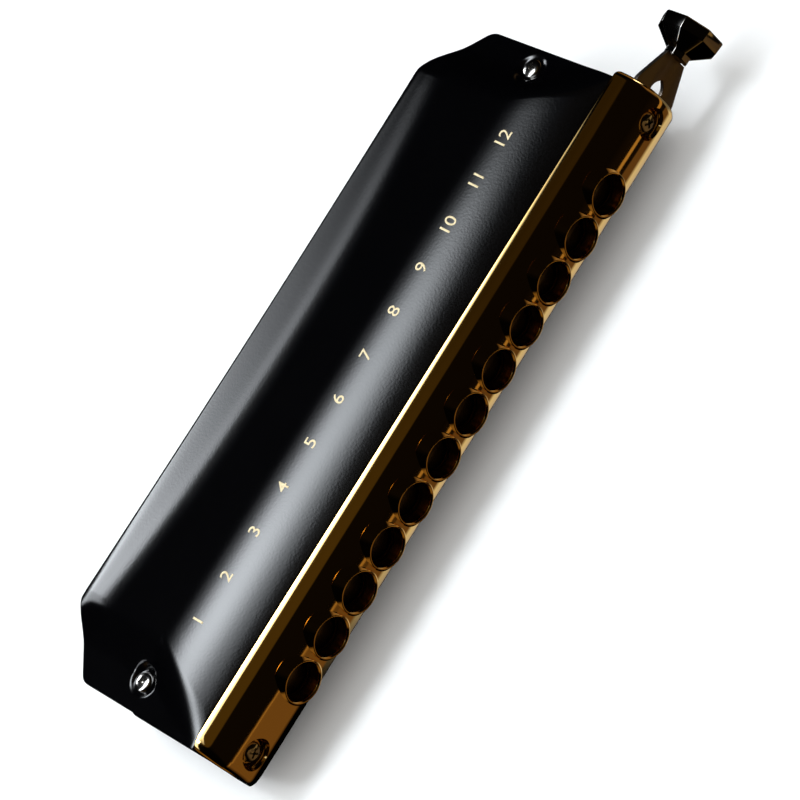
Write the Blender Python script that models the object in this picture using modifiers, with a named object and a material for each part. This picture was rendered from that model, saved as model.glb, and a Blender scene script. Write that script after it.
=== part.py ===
"""Chromatic harmonica with twelve holes and a sprung slide, built from separate pieces.

Metres, +Z up. X runs along the holes, from hole 1 (-X) to the slide's button (+X).
The player is at -Y. The origin is the middle of the flat face that the part rests on.

Pieces are modelled in the instrument's own frame: X, the depth behind the lips of the
holes, and the height over the middle plane. An empty carries that frame to its place.
"""

import math

import bmesh
import bpy
from mathutils import Matrix, Vector

# Driving dimensions

HOLES = 12
PITCH = 0.0094
CLEARANCE = 0.0003  # left between pieces that touch
MID_Z = 0.0124  # height of the middle plane over the face that the part rests on
LIP_Y = -0.0285  # plane of the lips round the holes, which depths are measured from

SLIDE_TRAVEL = 0.0047
SLIDE_DEPTH = 0.00415  # middle of the slide
SLIDE_THICK = 0.0008
SLIDE_HALF_HEIGHT = 0.0061
SLIDE_LEFT_MARGIN = 0.0055  # from the middle of hole 1 to the slide's end
PORT_WIDTH = 0.0042
PORT_LOW = 0.0012  # ports lie between these heights over and under the middle plane
PORT_HIGH = 0.0050
SLIDE_PLATE_THICK = 0.0005
FRONT_PLATE_MARGIN = 0.0083  # from the middle of the last hole to the plate's end
FRONT_PLATE_HALF = 0.0056
SEAL_THICK = 0.0010

MOUTH_MARGIN = 0.0205  # from the middle of the last hole to the mouthpiece's end
MOUTH_HALF_HEIGHT = 0.0089
MOUTH_DEPTH = 0.0067
MOUTH_LAND = 0.0044  # half height of the flat face
SHOULDER_RADIUS = 0.0097
MOUTH_WALL = 0.0015  # ends of the channel
LEFT_END_ROUND = 0.0006
RIGHT_END_ROUND = 0.0016
LEFT_CORNER_WIDTH = 0.0032
LEFT_CORNER_DROP = 0.0022
RIGHT_CORNER_WIDTH = 0.0016
RIGHT_CORNER_DROP = 0.0017
HOLE_RADIUS = 0.0037
HOLE_FLARE = 0.0002  # how much wider the hole's mouth is
HOLE_MOUTH_DEPTH = 0.0006
LIP_FLAT = 0.0003  # width of the lip's crest
LIP_SLOPE = 0.0003  # width of its outer slope
LIP_RISE = 0.0003  # from the flat face to the lips' crests

COMB_HALF_HEIGHT = 0.0056
COMB_REAR = 0.0430
CHAMBER_WIDTH = 0.0083
CHAMBER_FLOOR = 0.0006  # half thickness of the web between upper and lower chambers
FIRST_CHAMBER_REAR = 0.0345
LAST_CHAMBER_REAR = 0.0270
REED_PLATE_THICK = 0.0009
REED_THICK = 0.00025
REED_WIDTH = 0.0021
REED_ROOT = 0.0015  # width of the strip that a row of reeds grows from
REED_OFFSET = 0.0021  # blow and draw reeds lie this far to each side of a hole
FIRST_REED_LENGTH = 0.0165
LAST_REED_LENGTH = 0.0095
REED_START = 0.0112  # front end of the reed slots
SLOT_PLAY = 0.0002
VALVE_THICK = 0.00015
VALVE_OVERLAP = 0.0004

COVER_THICK = 0.0008
COVER_REAR = 0.0490
LEFT_COVER_SETBACK = 0.0002  # from the mouthpiece's end to the covers' end
RIGHT_COVER_SETBACK = 0.0018
CHAMFER_START = 0.0393  # where the cut corners begin
CHAMFER_RUN = 0.0139
CHAMFER_ROUND = 0.0016
CROWN_FRONT = 0.0240  # front edge of the flat crown
CROWN_REAR = 0.0330
CROWN_BOW = 0.0030  # how much farther back the crown reaches at its ends
FRONT_SLOPE = 0.0165  # length over which the front falls by FRONT_DROP
FRONT_DROP = 0.0041
FRONT_POWER = 1.7
REAR_DROP = 0.0026
REAR_POWER = 1.6
DOME_MARGIN = 0.0023  # from the cover screws to the foot of the dome's side
DOME_SIDE = 0.0093  # width of the dome's side slope
DOME_FLARE = 0.0070  # how much wider the foot is at the front

SCREW_RADIUS = 0.0011
SCREW_HEAD_RADIUS = 0.0020
SCREW_HEAD_HEIGHT = 0.0010
SCREW_CROWN = ((0.0, 0.0), (0.45, 0.06), (0.8, 0.28), (1.0, 0.65))  # shares of radius and height
DRIVE_LENGTH = 0.0024
DRIVE_WIDTH = 0.0005
DRIVE_DEPTH = 0.0006
COVER_SCREW_MARGIN = 0.0059  # from the mouthpiece's end
COVER_SCREW_DEPTH = 0.0255
MOUTH_SCREW_MARGIN = 0.0053  # from the mouthpiece's end
MOUTH_SCREW_LENGTH = 0.0125
MOUTH_SCREW_TURN = {-1: math.radians(20), 1: math.radians(50)}  # how the cross slots stand
COVER_SCREW_TURN = {-1: math.radians(35), 1: math.radians(10)}
POCKET_RADIUS = 0.0032
POCKET_DEPTH = 0.0023
NUT_RADIUS = 0.0019
NUT_HEAD_RIM = 0.0007
NUT_HEAD_HEIGHT = 0.0010
PLATE_SCREWS = 5
PLATE_SCREW_SPACING = 0.0260
PLATE_SCREW_MARGIN = 0.0022  # from the comb's rear edge
PLATE_SCREW_RADIUS = 0.0007
PLATE_HEAD_RADIUS = 0.0013
PLATE_HEAD_HEIGHT = 0.0006
PLATE_SCREW_END = 0.0012  # from the middle plane

TAB_LENGTH = 0.0079  # from the mouthpiece's end to the button
TAB_NECK_HALF = 0.0030
TAB_FLANK = 0.0006  # straight part outside the mouthpiece
TONGUE_HALF = 0.0016  # the slide's tongue inside the button
TONGUE_LENGTH = 0.0028
DROP_TIP = 0.0024  # pointed end of the drop-shaped hole
DROP_TAPER = ((0.0, 1.0), (0.55, 0.74), (0.88, 0.34), (1.0, 0.0))  # shares of the tip's length and half width
PIN_RADIUS = 0.0006
PIN_MARGIN = 0.0016  # from the tongue's root
PIN_DEPTH = 0.0015  # how far the pin's bore reaches past the slide's middle, towards the player
BUTTON_RADIUS = 0.00645
BUTTON_NECK_RADIUS = 0.0026
BUTTON_NECK = 0.0012
BUTTON_CONE = 0.0025
BUTTON_RIM = 0.0026
BUTTON_CHAMFER = 0.0003
BUTTON_SIDES = 8

SPRING_WIRE_RADIUS = 0.0004
SPRING_COIL_RADIUS = 0.0017
SPRING_TURNS = 2
SPRING_STEP = 0.0014  # rise of one turn
SPRING_DEPTH = 0.0112  # middle of the coil
SPRING_LEG = 0.0031  # from the post to the leg that the slide carries
SPRING_POCKET_HALF = 0.0040
SPRING_WALL = 0.0020  # from the spring's hole to the right screw's bore

SIDES = {-1: "left", 1: "right"}
FIRST_HOLE_X = -PITCH * (HOLES - 1) / 2
LAST_HOLE_X = -FIRST_HOLE_X
HOLE_MOUTH_RADIUS = HOLE_RADIUS + HOLE_FLARE
LIP_CREST_RADIUS = HOLE_MOUTH_RADIUS + LIP_FLAT
LIP_RADIUS = LIP_CREST_RADIUS + LIP_SLOPE
MOUTH_END = LAST_HOLE_X + MOUTH_MARGIN
END_ROUND = {-1: LEFT_END_ROUND, 1: RIGHT_END_ROUND}
CORNER_WIDTH = {-1: LEFT_CORNER_WIDTH, 1: RIGHT_CORNER_WIDTH}
CORNER_DROP = {-1: LEFT_CORNER_DROP, 1: RIGHT_CORNER_DROP}
MOUTH_SCREW_X = MOUTH_END - MOUTH_SCREW_MARGIN
SLIDE_FRONT = SLIDE_DEPTH - SLIDE_THICK / 2
SLIDE_BACK = SLIDE_DEPTH + SLIDE_THICK / 2
SLIDE_LEFT = FIRST_HOLE_X - SLIDE_LEFT_MARGIN
CHANNEL_FRONT = SLIDE_FRONT - CLEARANCE
CHANNEL_HALF = SLIDE_HALF_HEIGHT + CLEARANCE
CHANNEL_END = MOUTH_END - MOUTH_WALL
FRONT_PLATE = CHANNEL_FRONT - SLIDE_PLATE_THICK
FRONT_PLATE_END = LAST_HOLE_X + FRONT_PLATE_MARGIN
BACK_PLATE = SLIDE_BACK + CLEARANCE
SEAL = BACK_PLATE + SLIDE_PLATE_THICK + CLEARANCE
SLIDE_PLATE_HALF = CHANNEL_HALF - CLEARANCE
PLATE_END = CHANNEL_END - CLEARANCE
BODY_FRONT = MOUTH_DEPTH + CLEARANCE  # comb, reed plates and covers start here
COVER_END = {-1: MOUTH_END - LEFT_COVER_SETBACK, 1: MOUTH_END - RIGHT_COVER_SETBACK}
COVER_SCREW_X = MOUTH_END - COVER_SCREW_MARGIN
DOME_END = COVER_SCREW_X - DOME_MARGIN  # foot of the dome's side
BODY_MARGIN = COVER_END[-1] - PLATE_END  # from the covers' ends to the comb's
REED_PLATE_LOW = COMB_HALF_HEIGHT + CLEARANCE
REED_PLATE_HIGH = REED_PLATE_LOW + REED_PLATE_THICK
FLANGE_HEIGHT = REED_PLATE_HIGH + CLEARANCE + COVER_THICK  # top of the covers' flanges
PLATE_SCREW_DEPTH = COMB_REAR - PLATE_SCREW_MARGIN
PLATE_SCREW_XS = [PLATE_SCREW_SPACING * (n - (PLATE_SCREWS - 1) / 2) for n in range(PLATE_SCREWS)]
TAB_END = MOUTH_END + TAB_LENGTH
PIN_X = TAB_END + PIN_MARGIN
SPRING_HOLE_X = MOUTH_SCREW_X - SCREW_RADIUS - CLEARANCE - SPRING_WALL
SPRING_POST_X = SPRING_HOLE_X - SPRING_LEG
SPRING_REACH = SPRING_COIL_RADIUS + SPRING_WIRE_RADIUS
PAST = 0.001  # how far a cutter reaches past what it cuts
ROUND = 32  # sides of a large circle
MIDDLE_ROUND = 20
SMALL_ROUND = 12
SHOULDER_STEPS = 8
TURN_STEPS = 24  # points on one turn of the spring


def hole_x(index):
    return FIRST_HOLE_X + PITCH * index


def by_hole(first, last, index):
    """A size that changes evenly from hole 1 to the last hole."""
    return first + (last - first) * index / (HOLES - 1)


# Scene and helpers

for old in list(bpy.data.objects):
    bpy.data.objects.remove(old, do_unlink=True)

PARTS = bpy.data.collections.new("chromatic_harmonica")
CUTTERS = bpy.data.collections.new("cutters")
bpy.context.scene.collection.children.link(PARTS)
bpy.context.scene.collection.children.link(CUTTERS)


def empty(name, place, parent=None):
    made = bpy.data.objects.new(name, None)
    made.empty_display_size = PITCH
    made.location = place
    made.parent = parent
    PARTS.objects.link(made)
    return made


INSTRUMENT = empty("instrument_frame", (0, LIP_Y, MID_Z))
SLIDE_LINE = empty("slide_line", (0, SLIDE_DEPTH, 0), INSTRUMENT)  # the slide travels along it


def material(name, colour, roughness, metallic):
    made = bpy.data.materials.new(name)
    made.use_nodes = True
    shader = made.node_tree.nodes["Principled BSDF"]
    shader.inputs["Base Color"].default_value = (*colour, 1.0)
    shader.inputs["Roughness"].default_value = roughness
    shader.inputs["Metallic"].default_value = metallic
    return made


def as_cutter(name, data):
    """A new object that isn't shown, until it is finished as a piece."""
    made = bpy.data.objects.new(name, data)
    CUTTERS.objects.link(made)
    made.hide_render = True
    made.display_type = "WIRE"
    return made


def from_bmesh(name, bm):
    mesh = bpy.data.meshes.new(name)
    bmesh.ops.recalc_face_normals(bm, faces=bm.faces)
    bm.to_mesh(mesh)
    bm.free()
    return as_cutter(name, mesh)


def evaluated_mesh(made):
    """A new mesh of what the object is with its modifiers and curve settings."""
    bpy.context.view_layer.update()
    graph = bpy.context.evaluated_depsgraph_get()
    return bpy.data.meshes.new_from_object(made.evaluated_get(graph))


def bake(made):
    """Replaces an object's mesh by what its modifiers make of it."""
    mesh = evaluated_mesh(made)
    made.modifiers.clear()
    made.data = mesh


def finish(made, finish_material, smooth_angle=40, carrier=INSTRUMENT):
    """Makes the object one of the part's pieces, with its material, shading and parent."""
    CUTTERS.objects.unlink(made)
    PARTS.objects.link(made)
    made.hide_render = False
    made.display_type = "TEXTURED"
    made.data.materials.clear()
    made.data.materials.append(finish_material)
    made.data.shade_smooth()
    made.data.set_sharp_from_angle(angle=math.radians(smooth_angle))
    if carrier is not INSTRUMENT:
        made.data.transform(Matrix.Translation(-carrier.location))
    made.parent = carrier
    return made


def copies(first, names, places, turns):
    """Places a finished piece and copies of it that share its mesh."""
    for name, place, turn in zip(names, places, turns):
        made = first if name == first.name else first.copy()
        if made is not first:
            made.name = name
            PARTS.objects.link(made)
        made.location = place
        made.rotation_euler = turn


def box(name, low, high):
    """A block between two corners."""
    bm = bmesh.new()
    bmesh.ops.create_cube(bm, size=1.0)
    bmesh.ops.scale(bm, vec=Vector(high) - Vector(low), verts=bm.verts)
    bmesh.ops.translate(bm, vec=(Vector(high) + Vector(low)) / 2, verts=bm.verts)
    return from_bmesh(name, bm)


def turn_to(axis):
    """The rotation that takes +Z to the named axis."""
    if axis == "X":
        return Matrix.Rotation(math.radians(90), 4, "Y")
    if axis == "Y":
        return Matrix.Rotation(math.radians(-90), 4, "X")
    return Matrix.Identity(4)


def rod(name, radius, length, start, axis, sides=ROUND):
    """A cylinder that grows from start along an axis."""
    bm = bmesh.new()
    bmesh.ops.create_cone(
        bm, cap_ends=True, segments=sides, radius1=radius, radius2=radius, depth=length
    )
    bmesh.ops.translate(bm, vec=(0, 0, length / 2), verts=bm.verts)
    bmesh.ops.transform(bm, matrix=Matrix.Translation(start) @ turn_to(axis), verts=bm.verts)
    return from_bmesh(name, bm)


def turned(name, profile, start, axis, sides=ROUND, phase=0.0):
    """A turned solid. Its profile is (radius, distance along the axis), from the far end to the near one."""
    mesh = bpy.data.meshes.new(name)
    points = [(radius, 0.0, along) for radius, along in profile]
    mesh.from_pydata(points, [(i, i + 1) for i in range(len(points) - 1)], [])
    made = as_cutter(name, mesh)
    screw = made.modifiers.new("Screw", "SCREW")
    screw.steps = sides
    screw.render_steps = sides
    screw.use_merge_vertices = True
    screw.merge_threshold = 0.00001
    bake(made)
    spin = Matrix.Rotation(phase, 4, "Z")
    made.data.transform(Matrix.Translation(start) @ turn_to(axis) @ spin)
    return made


def circle(x, y, radius, sides=SMALL_ROUND):
    """Points of a circle, for the outline of a round hole."""
    turns = [2 * math.pi * step / sides for step in range(sides)]
    return [(x + radius * math.cos(turn), y + radius * math.sin(turn)) for turn in turns]


def rectangle(left, right, low, high):
    return [(left, low), (right, low), (right, high), (left, high)]


def flat(name, outlines, thickness):
    """A flat piece in the XY plane, centred on it. The first outline is its edge, the others are holes."""
    curve = bpy.data.curves.new(name, "CURVE")
    curve.dimensions = "2D"
    curve.fill_mode = "BOTH"
    curve.extrude = thickness / 2
    for outline in outlines:
        spline = curve.splines.new("POLY")
        spline.points.add(len(outline) - 1)
        spline.use_cyclic_u = True
        for point, (x, y) in zip(spline.points, outline):
            point.co = (x, y, 0.0, 1.0)
    drawn = as_cutter(name + "_outline", curve)
    bm = bmesh.new()
    bm.from_mesh(evaluated_mesh(drawn))
    bpy.data.objects.remove(drawn, do_unlink=True)
    bmesh.ops.remove_doubles(bm, verts=bm.verts, dist=0.000005)
    return from_bmesh(name, bm)


def plate(name, outlines, low, high):
    """A level flat piece. Outline points are (x, depth)."""
    made = flat(name, outlines, high - low)
    made.data.transform(Matrix.Translation((0, 0, (low + high) / 2)))
    return made


def sheet(name, outlines, front, back):
    """An upright flat piece, parallel to the mouthpiece's face. Outline points are (x, height)."""
    made = flat(name, outlines, back - front)
    upright = Matrix.Rotation(math.radians(90), 4, "X")
    made.data.transform(Matrix.Translation((0, (front + back) / 2, 0)) @ upright)
    return made


def combine(made, others, operation="DIFFERENCE"):
    """Cuts the others, which are clear of one another, from an object, or adds them to it."""
    bm = bmesh.new()
    for other in others:
        bm.from_mesh(other.data)
        bpy.data.objects.remove(other, do_unlink=True)
    tool = from_bmesh(made.name + "_tool", bm)
    change = made.modifiers.new("Boolean", "BOOLEAN")
    change.operation = operation
    change.solver = "EXACT"
    change.object = tool
    bake(made)
    bpy.data.objects.remove(tool, do_unlink=True)
    return made


# Materials

GOLD = material("gold_plated_brass", (0.78, 0.52, 0.20), 0.12, 1.0)
BLACK = material("black_lacquered_steel", (0.010, 0.010, 0.012), 0.18, 0.0)
STEEL = material("nickel_plated_steel", (0.42, 0.40, 0.39), 0.22, 1.0)
BRIGHT = material("chromed_screw_steel", (0.78, 0.78, 0.79), 0.15, 1.0)
BRASS = material("reed_brass", (0.72, 0.55, 0.28), 0.35, 1.0)
COMB_BLACK = material("moulded_comb", (0.03, 0.03, 0.032), 0.5, 0.0)
SOFT = material("silicone_seal", (0.25, 0.25, 0.26), 0.8, 0.0)
FILM = material("valve_film", (0.75, 0.75, 0.72), 0.5, 0.0)
SPRING_STEEL = material("spring_wire", (0.60, 0.60, 0.62), 0.25, 1.0)


# Mouthpiece

def shoulder(steps):
    """Points (depth, height) of the round shoulder, from the flat face to the rear edge."""
    start = Vector((LIP_RISE, MOUTH_LAND))
    end = Vector((MOUTH_DEPTH, MOUTH_HALF_HEIGHT))
    chord = end - start
    to_middle = math.sqrt(SHOULDER_RADIUS ** 2 - (chord.length / 2) ** 2)
    inwards = Vector((chord.y, -chord.x)).normalized()
    centre = (start + end) / 2 + inwards * to_middle
    first = math.atan2(start.y - centre.y, start.x - centre.x)
    last = math.atan2(end.y - centre.y, end.x - centre.x)
    turns = [first + (last - first) * step / steps for step in range(steps + 1)]
    return [
        (centre.x + SHOULDER_RADIUS * math.cos(turn), centre.y + SHOULDER_RADIUS * math.sin(turn))
        for turn in turns
    ]


def circle_inset(size, distance):
    """How far a quarter circle stands back from its edge's plane, at a distance from its end."""
    reach = max(0.0, size - distance)
    return size - math.sqrt(size ** 2 - reach ** 2)


def mouth_section(side, from_end):
    """The mouthpiece's outline at a distance from one end, where its corners and edges are rounded."""
    inset = circle_inset(END_ROUND[side], from_end)
    share = CORNER_DROP[side] / CORNER_WIDTH[side]
    drop = share * circle_inset(CORNER_WIDTH[side], from_end)
    upper = []
    for depth, height in shoulder(SHOULDER_STEPS):
        lowered = height - drop * (height - MOUTH_LAND) / (MOUTH_HALF_HEIGHT - MOUTH_LAND)
        upper.append(
            (depth + inset * (1 - depth / MOUTH_DEPTH), lowered * (1 - inset / MOUTH_HALF_HEIGHT))
        )
    return upper + [(depth, -height) for depth, height in reversed(upper)]


def mouth_stations():
    """Places along the mouthpiece where its section is set: (side, distance from that end)."""
    shares = (0.0, 0.15, 0.5, 1.0)
    left = {END_ROUND[-1] * share for share in shares} | {CORNER_WIDTH[-1] * share for share in shares}
    right = {END_ROUND[1] * share for share in shares} | {CORNER_WIDTH[1] * share for share in shares}
    return [(-1, d) for d in sorted(left)] + [(1, d) for d in sorted(right, reverse=True)]


def mouth_body():
    """A loft along X: a grid rolled up round sections that change towards the ends."""
    sections = [
        [(side * (MOUTH_END - from_end), depth, z) for depth, z in mouth_section(side, from_end)]
        for side, from_end in mouth_stations()
    ]
    around = len(sections[0])
    bm = bmesh.new()
    bmesh.ops.create_grid(bm, x_segments=len(sections) - 1, y_segments=around, size=1.0)
    for vert in bm.verts:
        station = round((vert.co.x + 1) / 2 * (len(sections) - 1))
        point = round((vert.co.y + 1) / 2 * around) % around
        vert.co = sections[station][point]
    bmesh.ops.remove_doubles(bm, verts=bm.verts, dist=0.000001)
    bmesh.ops.holes_fill(bm, edges=bm.edges)
    return from_bmesh("mouthpiece", bm)


def hole_lip(x):
    """The raised lip round a hole, to be joined to the body."""
    profile = [
        (0, PAST),
        (LIP_RADIUS, PAST),
        (LIP_RADIUS, LIP_RISE / 2),
        (LIP_CREST_RADIUS, 0),
        (0, 0),
    ]
    return turned("lip", profile, (x, 0, 0), "Y")


def hole_cutter(x):
    """A bore that widens into its mouth."""
    rear = CHANNEL_FRONT + PAST
    flare = HOLE_MOUTH_RADIUS - HOLE_RADIUS
    profile = [
        (0, rear),
        (HOLE_RADIUS, rear),
        (HOLE_RADIUS, HOLE_MOUTH_DEPTH),
        (HOLE_MOUTH_RADIUS + flare, -HOLE_MOUTH_DEPTH),
        (0, -HOLE_MOUTH_DEPTH),
    ]
    return turned("bore", profile, (x, 0, 0), "Y")


def screw_pocket(x):
    """A flat-bottomed pocket for a screw's head, with the screw's hole under it."""
    rear = CHANNEL_FRONT + PAST
    profile = [
        (0, rear),
        (SCREW_RADIUS + CLEARANCE, rear),
        (SCREW_RADIUS + CLEARANCE, POCKET_DEPTH),
        (SCREW_HEAD_RADIUS + CLEARANCE, POCKET_DEPTH),
        (POCKET_RADIUS, 0),
        (POCKET_RADIUS, -PAST),
        (0, -PAST),
    ]
    return turned("pocket", profile, (x, 0, 0), "Y", MIDDLE_ROUND)


def make_mouthpiece():
    body = mouth_body()
    xs = [hole_x(index) for index in range(HOLES)]
    combine(body, [hole_lip(x) for x in xs], "UNION")
    channel = box(
        "channel",
        (-CHANNEL_END, CHANNEL_FRONT, -CHANNEL_HALF),
        (CHANNEL_END, MOUTH_DEPTH + PAST, CHANNEL_HALF),
    )
    combine(body, [channel])
    recess = box(
        "front_plate_recess",
        (-FRONT_PLATE_END - CLEARANCE, FRONT_PLATE - CLEARANCE, -FRONT_PLATE_HALF - CLEARANCE),
        (FRONT_PLATE_END + CLEARANCE, CHANNEL_FRONT + PAST, FRONT_PLATE_HALF + CLEARANCE),
    )
    combine(body, [recess])
    slide_slot = box(
        "slide_slot",
        (CHANNEL_END - PAST, CHANNEL_FRONT, -CHANNEL_HALF),
        (MOUTH_END + PAST, SLIDE_BACK + CLEARANCE, CHANNEL_HALF),
    )
    combine(body, [slide_slot])
    pockets = [screw_pocket(side * MOUTH_SCREW_X) for side in SIDES]
    combine(body, [hole_cutter(x) for x in xs] + pockets)
    return finish(body, GOLD)


# Screws

def screw(name, length):
    """A pan head screw that points down, with the top of its head at its origin."""
    profile = [(SCREW_HEAD_RADIUS * wide, -SCREW_HEAD_HEIGHT * deep) for wide, deep in SCREW_CROWN]
    profile += [
        (SCREW_HEAD_RADIUS, -SCREW_HEAD_HEIGHT),
        (SCREW_RADIUS, -SCREW_HEAD_HEIGHT),
        (SCREW_RADIUS, -length),
        (0, -length),
    ]
    made = turned(name, profile, (0, 0, 0), "Z", MIDDLE_ROUND)
    for reach, half in ((DRIVE_LENGTH / 2, DRIVE_WIDTH / 2), (DRIVE_WIDTH / 2, DRIVE_LENGTH / 2)):
        combine(made, [box("drive", (-reach, -half, -DRIVE_DEPTH), (reach, half, PAST))])
    return finish(made, BRIGHT)


def make_mouthpiece_screws():
    top = POCKET_DEPTH - CLEARANCE - SCREW_HEAD_HEIGHT
    names = ["mouthpiece_screw_" + word for word in SIDES.values()]
    places = [(side * MOUTH_SCREW_X, top, 0) for side in SIDES]
    turns = [(math.radians(90), MOUTH_SCREW_TURN[side], 0) for side in SIDES]
    copies(screw(names[0], MOUTH_SCREW_LENGTH), names, places, turns)


def make_cover_screws():
    top = FLANGE_HEIGHT + CLEARANCE + SCREW_HEAD_HEIGHT
    names = ["cover_screw_" + word for word in SIDES.values()]
    places = [(x, depth, top) for x, depth in cover_screw_places()]
    turns = [(0, 0, COVER_SCREW_TURN[side]) for side in SIDES]
    copies(screw(names[0], top + FLANGE_HEIGHT), names, places, turns)


def make_cover_nuts():
    """Sleeve nuts that take the cover screws, with their heads under the lower cover."""
    under = -FLANGE_HEIGHT - CLEARANCE
    bottom = under - NUT_HEAD_HEIGHT
    top = COMB_HALF_HEIGHT
    rim = NUT_RADIUS + NUT_HEAD_RIM
    profile = [
        (SCREW_RADIUS + CLEARANCE, top),
        (NUT_RADIUS, top),
        (NUT_RADIUS, under),
        (rim, under),
        (rim, bottom + NUT_HEAD_HEIGHT / 3),
        (rim - NUT_HEAD_HEIGHT / 3, bottom),
        (SCREW_RADIUS + CLEARANCE, bottom),
        (SCREW_RADIUS + CLEARANCE, top),
    ]
    names = ["cover_nut_" + word for word in SIDES.values()]
    places = [(x, depth, 0) for x, depth in cover_screw_places()]
    nut = finish(turned(names[0], profile, (0, 0, 0), "Z", MIDDLE_ROUND), BRIGHT)
    copies(nut, names, places, [(0, 0, 0)] * len(names))


# Slide, its plates and its button

def ports(width, lower_shift=0.0):
    """Outlines of the two rows of ports."""
    half = width / 2
    upper = [rectangle(hole_x(i) - half, hole_x(i) + half, PORT_LOW, PORT_HIGH) for i in range(HOLES)]
    return upper + [[(x + lower_shift, -z) for x, z in reversed(outline)] for outline in upper]


def screw_circles():
    return [circle(side * MOUTH_SCREW_X, 0, SCREW_RADIUS + CLEARANCE) for side in SIDES]


def make_front_plate():
    edge = rectangle(-FRONT_PLATE_END, FRONT_PLATE_END, -FRONT_PLATE_HALF, FRONT_PLATE_HALF)
    bores = [circle(hole_x(index), 0, HOLE_RADIUS, 24) for index in range(HOLES)]
    return finish(sheet("slide_front_plate", [edge] + bores, FRONT_PLATE, CHANNEL_FRONT), BRASS)


def spring_leg_slot():
    half = SPRING_WIRE_RADIUS + CLEARANCE
    return rectangle(SPRING_HOLE_X - SLIDE_TRAVEL - half, SPRING_HOLE_X + half, -half, half)


def make_ported_sheet(name, front, back, finish_material):
    edge = rectangle(-PLATE_END, PLATE_END, -SLIDE_PLATE_HALF, SLIDE_PLATE_HALF)
    outlines = [edge] + ports(PORT_WIDTH) + screw_circles() + [spring_leg_slot()]
    return finish(sheet(name, outlines, front, back), finish_material)


def slide_outline():
    flank = MOUTH_END + TAB_FLANK
    tip = TAB_END + TONGUE_LENGTH
    upper = [
        (tip, TONGUE_HALF),
        (TAB_END, TONGUE_HALF),
        (TAB_END, TAB_NECK_HALF),
        (flank, SLIDE_HALF_HEIGHT),
        (SLIDE_LEFT, SLIDE_HALF_HEIGHT),
    ]
    return [(x, -z) for x, z in reversed(upper)] + upper


def drop_outline():
    """The long hole that the right screw runs in. Its outer end comes to a soft point."""
    half = SCREW_RADIUS + 2 * CLEARANCE
    end = MOUTH_SCREW_X + SLIDE_TRAVEL + CLEARANCE + SCREW_RADIUS
    turns = [math.radians(90 + 180 * step / 8) for step in range(9)]
    round_end = [(MOUTH_SCREW_X + half * math.cos(turn), half * math.sin(turn)) for turn in turns]
    taper = [(end + DROP_TIP * reach, half * wide) for reach, wide in DROP_TAPER]
    return round_end + [(x, -z) for x, z in taper] + [(x, z) for x, z in reversed(taper[:-1])]


def make_slide():
    outlines = [
        slide_outline(),
        *ports(PORT_WIDTH, SLIDE_TRAVEL),
        drop_outline(),
        circle(SPRING_HOLE_X, 0, SPRING_WIRE_RADIUS + CLEARANCE),
        circle(PIN_X, 0, PIN_RADIUS + CLEARANCE),
    ]
    return finish(sheet("slide", outlines, SLIDE_FRONT, SLIDE_BACK), STEEL, carrier=SLIDE_LINE)


def make_slide_bumper():
    """A soft block beside the slide's left end, which stops the slide when it is pressed."""
    right = SLIDE_LEFT - SLIDE_TRAVEL - CLEARANCE
    edge = rectangle(-PLATE_END, right, -SLIDE_PLATE_HALF, SLIDE_PLATE_HALF)
    outlines = [edge, circle(-MOUTH_SCREW_X, 0, SCREW_RADIUS + CLEARANCE)]
    return finish(sheet("slide_bumper", outlines, SLIDE_FRONT, SLIDE_BACK), SOFT)


def make_button():
    """An eight-sided button, slotted for the slide's tongue and drilled from behind for the pin."""
    start = TAB_END
    neck_end = start + BUTTON_NECK
    cone_end = neck_end + BUTTON_CONE
    rim_end = cone_end + BUTTON_RIM
    face = rim_end + BUTTON_CHAMFER
    profile = [
        (0, face),
        (BUTTON_RADIUS - BUTTON_CHAMFER, face),
        (BUTTON_RADIUS, rim_end),
        (BUTTON_RADIUS, cone_end),
        (BUTTON_NECK_RADIUS, neck_end),
        (BUTTON_NECK_RADIUS, start),
        (0, start),
    ]
    made = turned(
        "button", profile, (0, SLIDE_DEPTH, 0), "X", BUTTON_SIDES, math.pi / BUTTON_SIDES
    )
    tongue = TONGUE_HALF + CLEARANCE
    slot = box(
        "tongue_slot",
        (start - PAST, CHANNEL_FRONT, -tongue),
        (start + TONGUE_LENGTH + CLEARANCE, BACK_PLATE, tongue),
    )
    combine(made, [slot])
    shoulder_half = TAB_NECK_HALF + CLEARANCE
    groove = box(
        "shoulder_groove",
        (start - PAST, CHANNEL_FRONT, -shoulder_half),
        (start + CLEARANCE, BACK_PLATE, shoulder_half),
    )
    combine(made, [groove])
    reach = PIN_DEPTH + BUTTON_RADIUS + PAST
    start_point = (PIN_X, SLIDE_DEPTH - PIN_DEPTH, 0)
    combine(made, [rod("pin_bore", PIN_RADIUS + CLEARANCE, reach, start_point, "Y", SMALL_ROUND)])
    return finish(made, STEEL, smooth_angle=20, carrier=SLIDE_LINE)


def make_button_pin():
    front = SLIDE_DEPTH - PIN_DEPTH + CLEARANCE
    rear = SLIDE_DEPTH + BUTTON_NECK_RADIUS
    made = rod("button_pin", PIN_RADIUS, rear - front, (PIN_X, front, 0), "Y", SMALL_ROUND)
    return finish(made, BRIGHT, carrier=SLIDE_LINE)


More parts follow.
